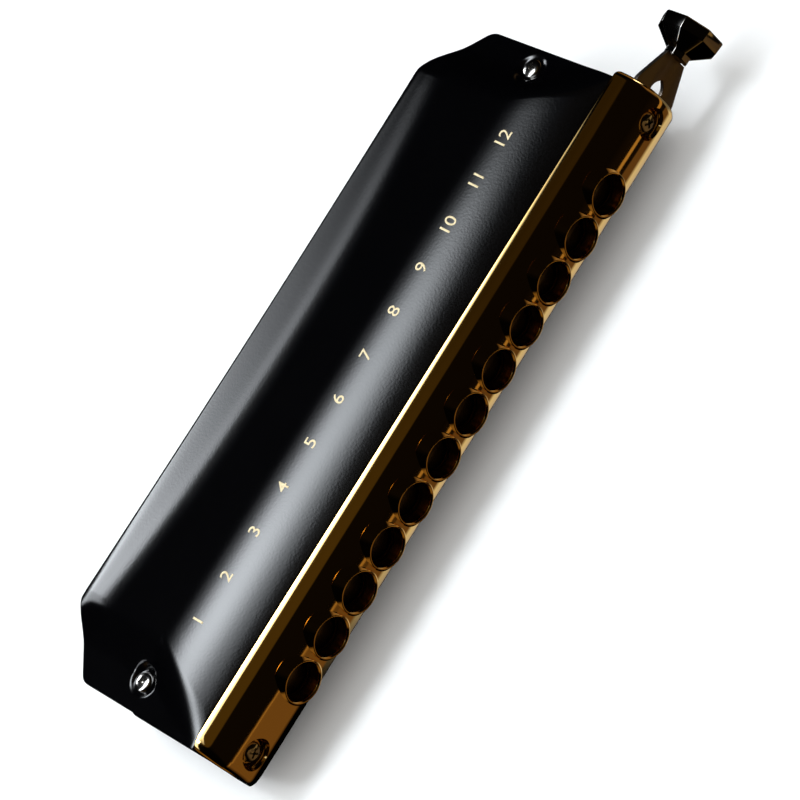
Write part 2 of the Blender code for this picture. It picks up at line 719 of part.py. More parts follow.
def make_slide_spring():
    """A wire spring: a coil round the post, with one leg through the slide and one on the pocket's wall."""
    steps = TURN_STEPS * SPRING_TURNS
    rise = SPRING_STEP * SPRING_TURNS
    points = [Vector((SPRING_HOLE_X, SLIDE_FRONT, 0)), Vector((SPRING_HOLE_X, SEAL + SEAL_THICK, 0))]
    for step in range(steps + 1):
        turn = 2 * math.pi * step / TURN_STEPS
        x = SPRING_POST_X + SPRING_COIL_RADIUS * math.cos(turn)
        y = SPRING_DEPTH + SPRING_COIL_RADIUS * math.sin(turn)
        points.append(Vector((x, y, rise * (step / steps - 0.5))))
    points.append(points[-1] + Vector((0, SPRING_REACH, 0)))
    curve = bpy.data.curves.new("slide_spring", "CURVE")
    curve.dimensions = "3D"
    curve.bevel_depth = SPRING_WIRE_RADIUS
    curve.bevel_resolution = 1
    curve.use_fill_caps = True
    spline = curve.splines.new("POLY")
    spline.points.add(len(points) - 1)
    for point, place in zip(spline.points, points):
        point.co = (*place, 1.0)
    drawn = as_cutter("spring_line", curve)
    bm = bmesh.new()
    bm.from_mesh(evaluated_mesh(drawn))
    bpy.data.objects.remove(drawn, do_unlink=True)
    bmesh.ops.remove_doubles(bm, verts=bm.verts, dist=0.00001)
    print("spring: gap between turns", round((SPRING_STEP - 2 * SPRING_WIRE_RADIUS) * 1000, 2), "mm")
    return finish(from_bmesh("slide_spring", bm), SPRING_STEEL)


def make_spring_post():
    half = SPRING_POCKET_HALF - CLEARANCE
    radius = SPRING_COIL_RADIUS - SPRING_WIRE_RADIUS - CLEARANCE
    made = rod("spring_post", radius, 2 * half, (SPRING_POST_X, SPRING_DEPTH, -half), "Z", SMALL_ROUND)
    return finish(made, BRIGHT)


# Comb, reed plates, reeds and valves

def body_outline(inset, front, rear):
    """Plan of the comb and the reed plates: the covers' plan, set in and cut off at the rear."""
    turn = math.atan2(CHAMFER_RUN, COVER_REAR - CHAMFER_START)
    start = CHAMFER_START - inset * math.tan(turn / 2)
    run = (rear - start) * math.tan(turn)
    left = -COVER_END[-1] + inset
    right = COVER_END[1] - inset
    front_side = [(left, front), (right, front)]
    return front_side + [(right, start), (right - run, rear), (left + run, rear), (left, start)]


def reed_span(index, side, grow=0.0):
    """Edges of a reed: (low x, high x, front, rear). Blow reeds are at -1, draw reeds at 1."""
    x = hole_x(index) + side * REED_OFFSET
    half = REED_WIDTH / 2 + grow
    rear = REED_START + by_hole(FIRST_REED_LENGTH, LAST_REED_LENGTH, index)
    return x - half, x + half, REED_START - grow, rear + grow


def row_outline(side, grow):
    """A row of twelve tongues on one strip: blow reeds have it at the front, draw reeds at the rear."""
    toothed = []
    for index in range(HOLES):
        left, right, front, rear = reed_span(index, side)
        left -= grow
        right += grow
        if side < 0:
            toothed += [(left, front), (left, rear + grow), (right, rear + grow), (right, front)]
        else:
            root = rear + VALVE_OVERLAP + CLEARANCE
            toothed += [(left, root), (left, front - grow), (right, front - grow), (right, root)]
    first = toothed[0]
    last = toothed[-1]
    strip = -REED_ROOT if side < 0 else REED_ROOT
    return toothed + [(last[0], last[1] + strip), (first[0], first[1] + strip)]


def upright_bores(radius, places, low, high, sides):
    """Cutters for holes through a level piece. Places are (x, depth)."""
    length = high - low + 2 * PAST
    return [rod("bore", radius, length, (x, depth, low - PAST), "Z", sides) for x, depth in places]


def cover_screw_places():
    return [(side * COVER_SCREW_X, COVER_SCREW_DEPTH) for side in SIDES]


def plate_screw_places():
    return [(x, PLATE_SCREW_DEPTH) for x in PLATE_SCREW_XS]


def make_comb():
    half = COMB_HALF_HEIGHT
    made = plate("comb", [body_outline(BODY_MARGIN, BODY_FRONT, COMB_REAR)], -half, half)
    chambers = []
    grooves = []
    for sign in (-1, 1):
        for index in range(HOLES):
            low, high = sorted((sign * CHAMBER_FLOOR, sign * (half + PAST)))
            left = hole_x(index) - CHAMBER_WIDTH / 2
            right = hole_x(index) + CHAMBER_WIDTH / 2
            rear = by_hole(FIRST_CHAMBER_REAR, LAST_CHAMBER_REAR, index)
            chambers.append(box("chamber", (left, BODY_FRONT - PAST, low), (right, rear, high)))
        left = reed_span(0, -1, CLEARANCE)[0]
        right = reed_span(HOLES - 1, -1, CLEARANCE)[1]
        low, high = sorted((sign * (half - REED_THICK - CLEARANCE), sign * (half + PAST)))
        front = REED_START - REED_ROOT - CLEARANCE
        grooves.append(box("strip_groove", (left, front, low), (right, REED_START + CLEARANCE, high)))
    combine(made, chambers)
    combine(made, grooves)
    pocket = box(
        "spring_pocket",
        (SPRING_POST_X - SPRING_REACH - CLEARANCE, BODY_FRONT - PAST, -SPRING_POCKET_HALF),
        (
            SPRING_HOLE_X + SPRING_WIRE_RADIUS + CLEARANCE,
            SPRING_DEPTH + SPRING_REACH + CLEARANCE,
            SPRING_POCKET_HALF,
        ),
    )
    bore_start = BODY_FRONT - PAST
    screw_bores = [
        rod(
            "bore",
            SCREW_RADIUS + CLEARANCE,
            MOUTH_SCREW_LENGTH + PAST,
            (side * MOUTH_SCREW_X, bore_start, 0),
            "Y",
            SMALL_ROUND,
        )
        for side in SIDES
    ]
    combine(made, [pocket] + screw_bores)
    nut_bores = upright_bores(NUT_RADIUS + CLEARANCE, cover_screw_places(), -half, half, MIDDLE_ROUND)
    plate_bores = upright_bores(
        PLATE_SCREW_RADIUS + CLEARANCE, plate_screw_places(), -half, half, SMALL_ROUND
    )
    combine(made, nut_bores + plate_bores)
    return finish(made, COMB_BLACK)


def make_reed_plate(name, sign):
    low, high = sorted((sign * REED_PLATE_LOW, sign * REED_PLATE_HIGH))
    spans = [reed_span(index, side, SLOT_PLAY) for index in range(HOLES) for side in (-1, 1)]
    outlines = [
        body_outline(BODY_MARGIN, BODY_FRONT, COMB_REAR),
        *[rectangle(*span) for span in spans],
        *[circle(x, y, NUT_RADIUS + CLEARANCE, MIDDLE_ROUND) for x, y in cover_screw_places()],
        *[circle(x, y, PLATE_SCREW_RADIUS + CLEARANCE) for x, y in plate_screw_places()],
    ]
    return finish(plate(name, outlines, low, high), BRASS)


def make_reeds(name, sign, side):
    """Blow reeds lie under their plate, in the chambers, and draw reeds lie on its outer face."""
    if side < 0:
        near = REED_PLATE_LOW - CLEARANCE
        far = near - REED_THICK
    else:
        near = REED_PLATE_HIGH + CLEARANCE
        far = near + REED_THICK
    low, high = sorted((sign * near, sign * far))
    return finish(plate(name, [row_outline(side, 0.0)], low, high), BRASS)


def make_valves(name, sign):
    """Thin flaps on the outer face, over the slots of the blow reeds."""
    near = REED_PLATE_HIGH + CLEARANCE
    low, high = sorted((sign * near, sign * (near + VALVE_THICK)))
    return finish(plate(name, [row_outline(-1, VALVE_OVERLAP)], low, high), FILM)


def make_plate_screws(word, sign):
    """Small screws along the rear edge that hold a reed plate to the comb."""
    seat = REED_PLATE_HIGH + CLEARANCE
    top = seat + PLATE_HEAD_HEIGHT
    profile = [
        (0, top),
        (PLATE_HEAD_RADIUS, top),
        (PLATE_HEAD_RADIUS, seat),
        (PLATE_SCREW_RADIUS, seat),
        (PLATE_SCREW_RADIUS, PLATE_SCREW_END),
        (0, PLATE_SCREW_END),
    ]
    names = [f"{word}_plate_screw_{number}" for number in range(1, PLATE_SCREWS + 1)]
    places = [(x, depth, 0) for x, depth in plate_screw_places()]
    turn = (0 if sign > 0 else math.pi, 0, 0)
    first = finish(turned(names[0], profile, (0, 0, 0), "Z", SMALL_ROUND), BRASS)
    copies(first, names, places, [turn] * PLATE_SCREWS)


# Covers

def ramp(value):
    """A smooth step from 0 to 1."""
    value = min(max(value, 0.0), 1.0)
    return value * value * (3 - 2 * value)


def dome_foot(depth):
    """Half length of the dome at its foot. It flares towards the front."""
    return DOME_END + DOME_FLARE * max(0.0, CROWN_FRONT - depth) / (CROWN_FRONT - BODY_FRONT)


def cover_height(x, depth):
    """Height of a cover's outer face over the middle plane."""
    drop = FRONT_DROP * (max(0.0, CROWN_FRONT - depth) / FRONT_SLOPE) ** FRONT_POWER
    start = CROWN_REAR + CROWN_BOW * min(abs(x) / DOME_END, 1.0) ** 2
    drop += REAR_DROP * (max(0.0, depth - start) / (COVER_REAR - CROWN_REAR)) ** REAR_POWER
    rise = MID_Z - drop - FLANGE_HEIGHT
    return FLANGE_HEIGHT + rise * ramp((dome_foot(depth) - abs(x)) / DOME_SIDE)


def spaced(stops):
    """Values between stops, each (value, how many steps lead to the next)."""
    values = []
    for (start, count), (end, _) in zip(stops, stops[1:]):
        values += [start + (end - start) * step / count for step in range(count)]
    return values + [stops[-1][0]]


def rounded(corner, before, after, reach, steps=4):
    """Points of a round corner: it leaves each straight edge at this reach from the corner."""
    corner = Vector(corner)
    first = corner + (Vector(before) - corner).normalized() * reach
    last = corner + (Vector(after) - corner).normalized() * reach
    shares = [step / steps for step in range(steps + 1)]
    bends = [first * (1 - t) ** 2 + corner * 2 * t * (1 - t) + last * t ** 2 for t in shares]
    return [(point.x, point.y) for point in bends]


def cover_plan():
    """The covers' outline from above, with the rear corners cut off and rounded."""
    left, right = -COVER_END[-1], COVER_END[1]
    corners = [
        (right, CHAMFER_START),
        (right - CHAMFER_RUN, COVER_REAR),
        (left + CHAMFER_RUN, COVER_REAR),
        (left, CHAMFER_START),
    ]
    around = [(right, BODY_FRONT)] + corners + [(left, BODY_FRONT)]
    points = [(left, BODY_FRONT), (right, BODY_FRONT)]
    for before, corner, after in zip(around, around[1:], around[2:]):
        points += rounded(corner, before, after, CHAMFER_ROUND)
    return points


def cover_columns(depth):
    """Places across the cover: past the end, down the dome's side, and over its crown."""
    foot = dome_foot(depth)
    top = foot - DOME_SIDE
    right = [top * share for share in (0.25, 0.5, 0.75)]
    right += [top + DOME_SIDE * share for share in (0.0, 0.2, 0.4, 0.6, 0.8, 1.0)]
    right.append(max(COVER_END.values()) + DOME_FLARE / 3)
    return [-x for x in reversed(right)] + [0.0] + right


def make_cover(name, sign):
    """A domed sheet, drawn over size and then trimmed to the plan."""
    rows = spaced([(BODY_FRONT - PAST, 7), (CROWN_FRONT, 1), (CROWN_REAR, 6), (COVER_REAR + PAST, 0)])
    columns = [cover_columns(depth) for depth in rows]
    bm = bmesh.new()
    bmesh.ops.create_grid(bm, x_segments=len(columns[0]) - 1, y_segments=len(rows) - 1, size=1.0)
    for vert in bm.verts:
        row = round((vert.co.y + 1) / 2 * (len(rows) - 1))
        column = round((vert.co.x + 1) / 2 * (len(columns[0]) - 1))
        x = columns[row][column]
        vert.co = (x, rows[row], sign * cover_height(x, rows[row]))
    if sign < 0:
        bmesh.ops.reverse_faces(bm, faces=bm.faces)
    mesh = bpy.data.meshes.new(name)
    bm.to_mesh(mesh)
    bm.free()
    made = as_cutter(name, mesh)
    shell = made.modifiers.new("Solidify", "SOLIDIFY")
    shell.thickness = COVER_THICK
    shell.offset = -1.0
    shell.use_even_offset = True
    bake(made)
    low, high = sorted((sign * (FLANGE_HEIGHT - 2 * COVER_THICK), sign * (MID_Z + PAST)))
    combine(made, [plate("plan", [cover_plan()], low, high)], "INTERSECT")
    radius = (SCREW_RADIUS if sign > 0 else NUT_RADIUS) + CLEARANCE
    low, high = sorted((sign * (FLANGE_HEIGHT - COVER_THICK), sign * FLANGE_HEIGHT))
    combine(made, upright_bores(radius, cover_screw_places(), low, high, MIDDLE_ROUND))
    return finish(made, BLACK, smooth_angle=50)


make_mouthpiece()
make_mouthpiece_screws()
make_front_plate()
make_slide()
make_slide_bumper()
make_ported_sheet("slide_back_plate", BACK_PLATE, BACK_PLATE + SLIDE_PLATE_THICK, BRASS)
make_ported_sheet("comb_seal", SEAL, SEAL + SEAL_THICK, SOFT)
make_button()
make_button_pin()
make_slide_spring()
make_spring_post()
make_comb()
for word, sign in (("upper", 1), ("lower", -1)):
    make_reed_plate(word + "_reed_plate", sign)
    make_reeds(word + "_blow_reeds", sign, -1)
    make_reeds(word + "_draw_reeds", sign, 1)
    make_valves(word + "_outer_valves", sign)
    make_plate_screws(word, sign)
    make_cover(word + "_cover", sign)
make_cover_screws()
make_cover_nuts()
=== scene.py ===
# %% [markdown]
# # A chromatic harmonica with a gold mouthpiece and black covers
#
# The construction of the instrument comes in ready made, as the frame: every
# piece at its real size and place, in metres. This script dresses it. The pieces
# whose edges catch the light are made again with finer curves, the rest keep
# their shape, and each piece gets the finish of the real one. At the end come
# the light and the camera.

# %% Load the frame
import math

import bmesh
import bpy
from mathutils import Matrix, Vector


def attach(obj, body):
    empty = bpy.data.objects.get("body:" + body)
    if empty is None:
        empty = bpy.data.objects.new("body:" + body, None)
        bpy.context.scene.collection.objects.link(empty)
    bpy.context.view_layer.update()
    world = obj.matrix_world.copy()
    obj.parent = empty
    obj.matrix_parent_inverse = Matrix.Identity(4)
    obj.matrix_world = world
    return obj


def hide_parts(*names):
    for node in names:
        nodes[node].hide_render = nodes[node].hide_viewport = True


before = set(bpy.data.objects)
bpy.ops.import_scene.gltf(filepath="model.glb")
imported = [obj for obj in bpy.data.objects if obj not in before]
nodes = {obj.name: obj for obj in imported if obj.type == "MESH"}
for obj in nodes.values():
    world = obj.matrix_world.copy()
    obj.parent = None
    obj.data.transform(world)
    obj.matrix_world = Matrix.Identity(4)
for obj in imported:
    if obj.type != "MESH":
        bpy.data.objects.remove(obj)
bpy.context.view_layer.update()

# %% [markdown]
# ## Where things are
#
# A maker measures a harmonica along its row of holes, back from the lips round
# them, and up and down from its middle plane. Each new piece is made in those
# three distances. When it is finished its mesh is shifted as a whole, because
# in the scene the middle plane lies half a height above the floor, and the lips
# lie in front of the origin.

# %% Places of the instrument
MM = 0.001
LIP_Y = -28.5 * MM  # the plane of the lips round the holes
MID_Z = 12.4 * MM  # the middle plane's height over the floor
TO_SCENE = Matrix.Translation((0.0, LIP_Y, MID_Z))

HOLES = 12
PITCH = 9.4 * MM
HOLE_XS = [PITCH * (n - (HOLES - 1) / 2) for n in range(HOLES)]
SIDES = {-1: "left", 1: "right"}
print("first hole at", round(HOLE_XS[0] / MM, 1), "mm, last at", round(HOLE_XS[-1] / MM, 1), "mm")

# %% [markdown]
# ## Helpers for meshes
#
# A bmesh holds a shape while operators work on it. When it is done it becomes
# an object. Sharp corners stay sharp and small steps look round, so the faces
# are shaded smooth and only edges over an angle are marked sharp. A big flat
# face must stay flat to the eye: its edges are all marked, so that a
# neighbouring curve can't bend its reflection.


# %% From bmesh to object
def to_object(name, bm):
    """Turns a bmesh into an object. The bmesh is used up."""
    mesh = bpy.data.meshes.new(name)
    bm.to_mesh(mesh)
    bm.free()
    made = bpy.data.objects.new(name, mesh)
    bpy.context.scene.collection.objects.link(made)
    return made


def bake(made):
    """Replaces the object's mesh with the one its modifiers make."""
    seen = made.evaluated_get(bpy.context.evaluated_depsgraph_get())
    mesh = bpy.data.meshes.new_from_object(seen)
    old = made.data
    made.modifiers.clear()
    made.data = mesh
    mesh.name = old.name
    if old.users == 0:
        bpy.data.meshes.remove(old)


def smooth(made, angle, flat_area=1.0):
    """Smooth shading. Edges over the angle in degrees, and all round large flat faces, are sharp."""
    bm = bmesh.new()
    bm.from_mesh(made.data)
    for face in bm.faces:
        face.smooth = True
    for edge in bm.edges:
        if len(edge.link_faces) == 2:
            bent = edge.calc_face_angle(0.0) > math.radians(angle)
            big = any(len(f.verts) > 4 and f.calc_area() > flat_area for f in edge.link_faces)
            edge.smooth = not (bent or big)
    bm.to_mesh(made.data)
    bm.free()


def carve(made, tools, operation="DIFFERENCE"):
    """Cuts tools out of an object, or joins them to it. The tools are used up."""
    for tool in tools:
        boolean = made.modifiers.new("carve", "BOOLEAN")
        boolean.operation = operation
        boolean.solver = "EXACT"
        boolean.object = tool
    bake(made)
    for tool in tools:
        bpy.data.objects.remove(tool, do_unlink=True)


def joined(name, bms):
    """One bmesh from several that don't touch each other."""
    whole = bmesh.new()
    for bm in bms:
        mesh = bpy.data.meshes.new("part")
        bm.to_mesh(mesh)
        bm.free()
        whole.from_mesh(mesh)
        bpy.data.meshes.remove(mesh)
    return to_object(name, whole)


# %% [markdown]
# Many pieces of a harmonica are turned on a lathe, or drilled with a tool that
# is. The lathe here is the spin operator: a profile of (radius, distance along
# the axis) goes once round the axis. The profile starts and ends on the axis,
# so the turned shape is closed.


# %% Lathe, block and placing
def lathe(profile, sides, phase=0.0):
    """A turned solid round Z. The profile is (radius, height) from the axis and back to it."""
    bm = bmesh.new()
    verts = [bm.verts.new((radius, 0.0, height)) for radius, height in profile]
    edges = [bm.edges.new(pair) for pair in zip(verts, verts[1:])]
    bmesh.ops.spin(
        bm,
        geom=verts + edges,
        axis=(0, 0, 1),
        cent=(0, 0, 0),
        angle=2 * math.pi,
        steps=sides,
        use_merge=True,
    )
    bmesh.ops.remove_doubles(bm, verts=bm.verts, dist=1e-7)
    bmesh.ops.recalc_face_normals(bm, faces=bm.faces)
    bmesh.ops.rotate(bm, verts=bm.verts, cent=(0, 0, 0), matrix=Matrix.Rotation(phase, 3, "Z"))
    return bm


def block(low, high):
    """A box between two corners."""
    bm = bmesh.new()
    bmesh.ops.create_cube(bm, size=1.0)
    size = Vector(high) - Vector(low)
    bmesh.ops.scale(bm, verts=bm.verts, vec=size)
    bmesh.ops.translate(bm, verts=bm.verts, vec=(Vector(high) + Vector(low)) / 2)
    return bm


def placed(bm, turn, place):
    """Turns a bmesh about the origin and moves it to its place."""
    bmesh.ops.transform(bm, verts=bm.verts, matrix=Matrix.Translation(place) @ turn.to_4x4())
    return bm


INTO_HOLE = Matrix.Rotation(math.radians(-90), 3, "X")  # turns +Z into +Y, away from the player


def dressed(made, finish, body, slot, *stands_for):
    """Puts a finished piece into the scene: its place, finish, body, and the nodes it stands for."""
    made.data.transform(TO_SCENE)
    made.data.materials.clear()
    made.data.materials.append(finish)
    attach(made, body)
    if stands_for:
        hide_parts(*stands_for)
    print(made.name, len(made.data.polygons), "faces")


# %% [markdown]
# ## Colours and nodes
#
# Colours are picked as sRGB hex values, the way a paint chart gives them, and
# the shader wants linear light, so one function converts them. A second small
# function adds a node with its settings and its links.


# %% Helpers for materials
def colour(hex_value):
    """Linear RGBA from an sRGB hex value such as #c8a050."""
    channels = [int(hex_value[i : i + 2], 16) / 255 for i in (1, 3, 5)]
    linear = [c / 12.92 if c <= 0.04045 else ((c + 0.055) / 1.055) ** 2.4 for c in channels]
    return (*linear, 1.0)


def add(tree, kind, settings=None, **links):
    """Adds a node. Settings are its properties, and links are values or sockets for its inputs."""
    node = tree.nodes.new(kind)
    for key, value in (settings or {}).items():
        setattr(node, key, value)
    for key, value in links.items():
        socket = node.inputs[key.replace("_", " ")]
        if isinstance(value, bpy.types.NodeSocket):
            tree.links.new(value, socket)
        else:
            socket.default_value = value
    return node


def new_material(name, base, **settings):
    """A material with a Principled shader, and Object coordinates for its patterns."""
    made = bpy.data.materials.new(name)
    made.use_nodes = True
    tree = made.node_tree
    shader = tree.nodes["Principled BSDF"]
    shader.inputs["Base Color"].default_value = colour(base)
    for key, value in settings.items():
        shader.inputs[key.replace("_", " ")].default_value = value
    place = add(tree, "ShaderNodeTexCoord").outputs["Object"]
    return made, tree, shader, place


def per_mm(size):
    """Noise scale that gives features of this size in millimetres."""
    return 1.0 / (size * MM)


def dress(node, finish):
    """Gives a piece of the frame its finish."""
    nodes[node].data.materials.clear()
    nodes[node].data.materials.append(finish)


# %% [markdown]
# ## Gold plate
#
# The mouthpiece is milled brass, polished and gold plated, so it is a mirror
# with a warm colour. A mirror shows the room more than itself: its look comes
# from what it reflects. Polishing by hand leaves very shallow waves a few
# millimetres long, and a fine haze of scratches that differs from place to
# place. Both are kept small, or the reflections would break up.


# %% Gold plate
def gold_plate():
    """Electroplated gold on polished brass: a deep yellow mirror with a slight haze."""
    made, tree, shader, place = new_material("gold_plated_brass", "#ffd486", Metallic=1.0)
    haze = add(tree, "ShaderNodeTexNoise", Vector=place, Scale=per_mm(3.0), Detail=4.0)
    rough = add(
        tree, "ShaderNodeMapRange", Value=haze.outputs["Fac"], To_Min=0.035, To_Max=0.075
    )
    tree.links.new(rough.outputs["Result"], shader.inputs["Roughness"])
    waves = add(tree, "ShaderNodeTexNoise", Vector=place, Scale=per_mm(4.0), Detail=1.0)
    bump = add(
        tree, "ShaderNodeBump", Height=waves.outputs["Fac"], Strength=0.12, Distance=0.00006
    )
    tree.links.new(bump.outputs["Normal"], shader.inputs["Normal"])
    return made


gold = gold_plate()
print("gold base colour", [round(c, 3) for c in colour("#ffd486")[:3]])

# %% [markdown]
# ## Mouthpiece
#
# The real one is milled from a bar: a gently curved face with the holes in it,
# and a rounder shoulder above and below it that lies against the lips. Near its
# two ends the edges are rounded off. So the bar is a grid: one direction runs
# round the section, the other along the bar, and rolling it up gives the
# surface. The grid is fine, because a mirror shows every facet.

# %% Sizes of the mouthpiece
MOUTH_END = 72.2 * MM
MOUTH_HALF_HEIGHT = 8.9 * MM
MOUTH_DEPTH = 6.7 * MM
MOUTH_LAND = 4.4 * MM  # half height of the face, between the shoulders
LIP_RISE = 0.3 * MM  # from the middle of the face to the crests of the lips
FACE_RADIUS = 10.6 * MM
END_ROUND = {-1: 0.6 * MM, 1: 1.6 * MM}
END_ROUND_LENGTH = {-1: 1.7 * MM, 1: 1.6 * MM}
CORNER_WIDTH = {-1: 3.2 * MM, 1: 1.6 * MM}
CORNER_DROP = {-1: 2.2 * MM, 1: 1.7 * MM}
REAR_EDGE_REACH = 0.15 * MM


# %% Its section and where the section changes
def bend(before, corner, after, reach, steps):
    """A rounded corner: it leaves each straight edge at this reach from the corner."""
    corner = Vector(corner)
    first = corner + (Vector(before) - corner).normalized() * reach
    last = corner + (Vector(after) - corner).normalized() * reach
    shares = [step / steps for step in range(steps + 1)]
    return [tuple(first * (1 - t) ** 2 + corner * 2 * t * (1 - t) + last * t**2) for t in shares]


def shoulder_line():
    """Points (depth, height) over the upper half of the section: the face's arc, then the shoulder's."""
    lean = math.asin(MOUTH_LAND / FACE_RADIUS)
    points = []
    for step in range(25):
        turn = lean * step / 24
        depth = LIP_RISE + FACE_RADIUS * (1 - math.cos(turn))
        points.append((depth, FACE_RADIUS * math.sin(turn)))
    start, end = Vector(points[-1]), Vector((MOUTH_DEPTH, MOUTH_HALF_HEIGHT))
    chord = end - start
    half_turn = math.atan2(chord.x, chord.y) - lean
    radius = chord.length / (2 * math.sin(half_turn))
    centre = start + Vector((math.cos(lean), -math.sin(lean))) * radius
    for step in range(1, 33):
        turn = lean + 2 * half_turn * step / 32
        points.append(tuple(centre + Vector((-math.cos(turn), math.sin(turn))) * radius))
    rear = bend(points[-3], points[-1], (MOUTH_DEPTH, 0.0), REAR_EDGE_REACH, 3)
    return points[:-1] + rear


def circle_inset(size, distance, length=None):
    """How far a rounded edge stands back at a distance from its end: a quarter circle or ellipse."""
    length = length or size
    share = max(0.0, 1 - distance / length)
    return size * (1 - math.sqrt(1 - share**2))


def mouth_section(side, from_end):
    """The closed section at a distance from one end."""
    inset = circle_inset(END_ROUND[side], from_end, END_ROUND_LENGTH[side])
    share = CORNER_DROP[side] / CORNER_WIDTH[side]
    drop = share * circle_inset(CORNER_WIDTH[side], from_end)
    upper = []
    for depth, height in shoulder_line():
        lowered = height - drop * max(0.0, height - MOUTH_LAND) / (MOUTH_HALF_HEIGHT - MOUTH_LAND)
        upper.append(
            (depth + inset * (1 - depth / MOUTH_DEPTH), lowered * (1 - inset / MOUTH_HALF_HEIGHT))
        )
    return upper + [(depth, -height) for depth, height in reversed(upper)]


def mouth_stations():
    """Places along the bar where its section is set: (side, distance from that end)."""
    shares = [1 - math.cos(math.radians(90) * step / 12) for step in range(13)]
    stations = []
    for side in (-1, 1):
        near = {round(END_ROUND_LENGTH[side] * s, 7) for s in shares}
        near |= {round(CORNER_WIDTH[side] * s, 7) for s in shares if s > 0.02}
        near |= {MOUTH_END - 58 * MM * n / 232 for n in range(side > 0, 233)}
        stations += [(side, d) for d in sorted(near, reverse=side > 0)]
    return stations


# %% The bar
def mouth_bar():
    sections = [
        [(side * (MOUTH_END - d), depth, height) for depth, height in mouth_section(side, d)]
        for side, d in mouth_stations()
    ]
    around = len(sections[0])
    bm = bmesh.new()
    bmesh.ops.create_grid(bm, x_segments=len(sections) - 1, y_segments=around, size=1.0)
    for vert in bm.verts:
        station = round((vert.co.x + 1) / 2 * (len(sections) - 1))
        point = round((vert.co.y + 1) / 2 * around) % around
        vert.co = sections[station][point]
    bmesh.ops.remove_doubles(bm, verts=bm.verts, dist=1e-7)
    bmesh.ops.holes_fill(bm, edges=bm.edges)
    bmesh.ops.recalc_face_normals(bm, faces=bm.faces)
    return to_object("gold_mouthpiece", bm)


# %% [markdown]
# Each hole has a raised lip, a low ring that feels smooth to the mouth, with a
# slope below it that runs into the face. It is joined to the bar as a turned
# disc, and then the bore is drilled through it with a tool whose profile opens
# towards the player.

# %% Lips and bores
HOLE_RADIUS = 3.7 * MM
LIP_CREST_RADIUS = 4.02 * MM
LIP_ROUND = 0.39 * MM
LIP_LEAN = 50  # degrees between the face and the slope round a lip


def lip():
    """A disc with a round lip near its rim, and a slope below it."""
    turns = [math.radians(LIP_LEAN) * step / 8 for step in range(9)]
    crest = [
        (LIP_CREST_RADIUS + LIP_ROUND * math.sin(t), LIP_ROUND * (1 - math.cos(t))) for t in turns
    ]
    run = 1.4 * MM
    foot = (crest[-1][0] + run, crest[-1][1] + run * math.tan(turns[-1]))
    return lathe([(0, 0)] + crest + [foot, (0, foot[1])], 96)


def bore():
    """The drill: straight at the back, and opening in a curve through the lip's crest."""
    opening = bend(
        (HOLE_RADIUS, 1.2 * MM), (HOLE_RADIUS, 0.3 * MM), (HOLE_RADIUS + 0.9 * MM, -0.6 * MM), 0.3 * MM, 6
    )
    tip = (HOLE_RADIUS + 0.9 * MM, -0.6 * MM)
    return lathe([(0, 4.5 * MM), (HOLE_RADIUS, 4.5 * MM)] + opening + [tip, (0, -0.6 * MM)], 96)


# %% [markdown]
# A pocket near each end takes a screw's head. Behind the face the bar is
# hollow: a long channel for the slide and its plates, and a shallower recess
# for the brass plate in front of them. The channel runs out through the right
# end, where the slide comes out.

# %% Pockets and channel
MOUTH_SCREW_X = 66.9 * MM
CHANNEL_FRONT = 3.45 * MM
CHANNEL_HALF = 6.4 * MM
CHANNEL_END = 70.7 * MM


def pocket():
    rim = bend((2.3 * MM, 2.3 * MM), (3.16 * MM, LIP_RISE), (3.6 * MM, -0.4 * MM), 0.25 * MM, 4)
    profile = [(0, 4.5 * MM), (1.4 * MM, 4.5 * MM), (1.4 * MM, 2.3 * MM), (2.3 * MM, 2.3 * MM)]
    return lathe(profile + rim + [(3.6 * MM, -0.4 * MM), (0, -0.4 * MM)], 72)


def make_mouthpiece():
    bar = mouth_bar()
    lips = [placed(lip(), INTO_HOLE, (x, 0, 0)) for x in HOLE_XS]
    carve(bar, [joined("lips", lips)], "UNION")
    hollows = [
        block(
            (-CHANNEL_END, CHANNEL_FRONT, -CHANNEL_HALF),
            (CHANNEL_END, MOUTH_DEPTH + MM, CHANNEL_HALF),
        ),
        block((-60.3 * MM, 2.65 * MM, -5.9 * MM), (60.3 * MM, 4.5 * MM, 5.9 * MM)),
        block((CHANNEL_END - MM, CHANNEL_FRONT, -CHANNEL_HALF), (74 * MM, 4.85 * MM, CHANNEL_HALF)),
    ]
    carve(bar, [to_object("hollow", hollow) for hollow in hollows])
    bores = [placed(bore(), INTO_HOLE, (x, 0, 0)) for x in HOLE_XS]
    pockets = [placed(pocket(), INTO_HOLE, (side * MOUTH_SCREW_X, 0, 0)) for side in SIDES]
    carve(bar, [joined("bores", bores + pockets)])
    smooth(bar, 15, flat_area=(3 * MM) ** 2)
    dressed(bar, gold, "instrument", "gold_plate", "mouthpiece")
    return bar


mouthpiece = make_mouthpiece()


# %% [markdown]
# ## Black lacquer
#
# The covers are stamped steel, painted glossy black. Sprayed lacquer dries with
# a faint unevenness, like the skin of an orange, with bumps of about half a
# millimetre. It can't be seen on its own, but it roughens the border of every
# reflection. The clear top layer is what gives the shine.


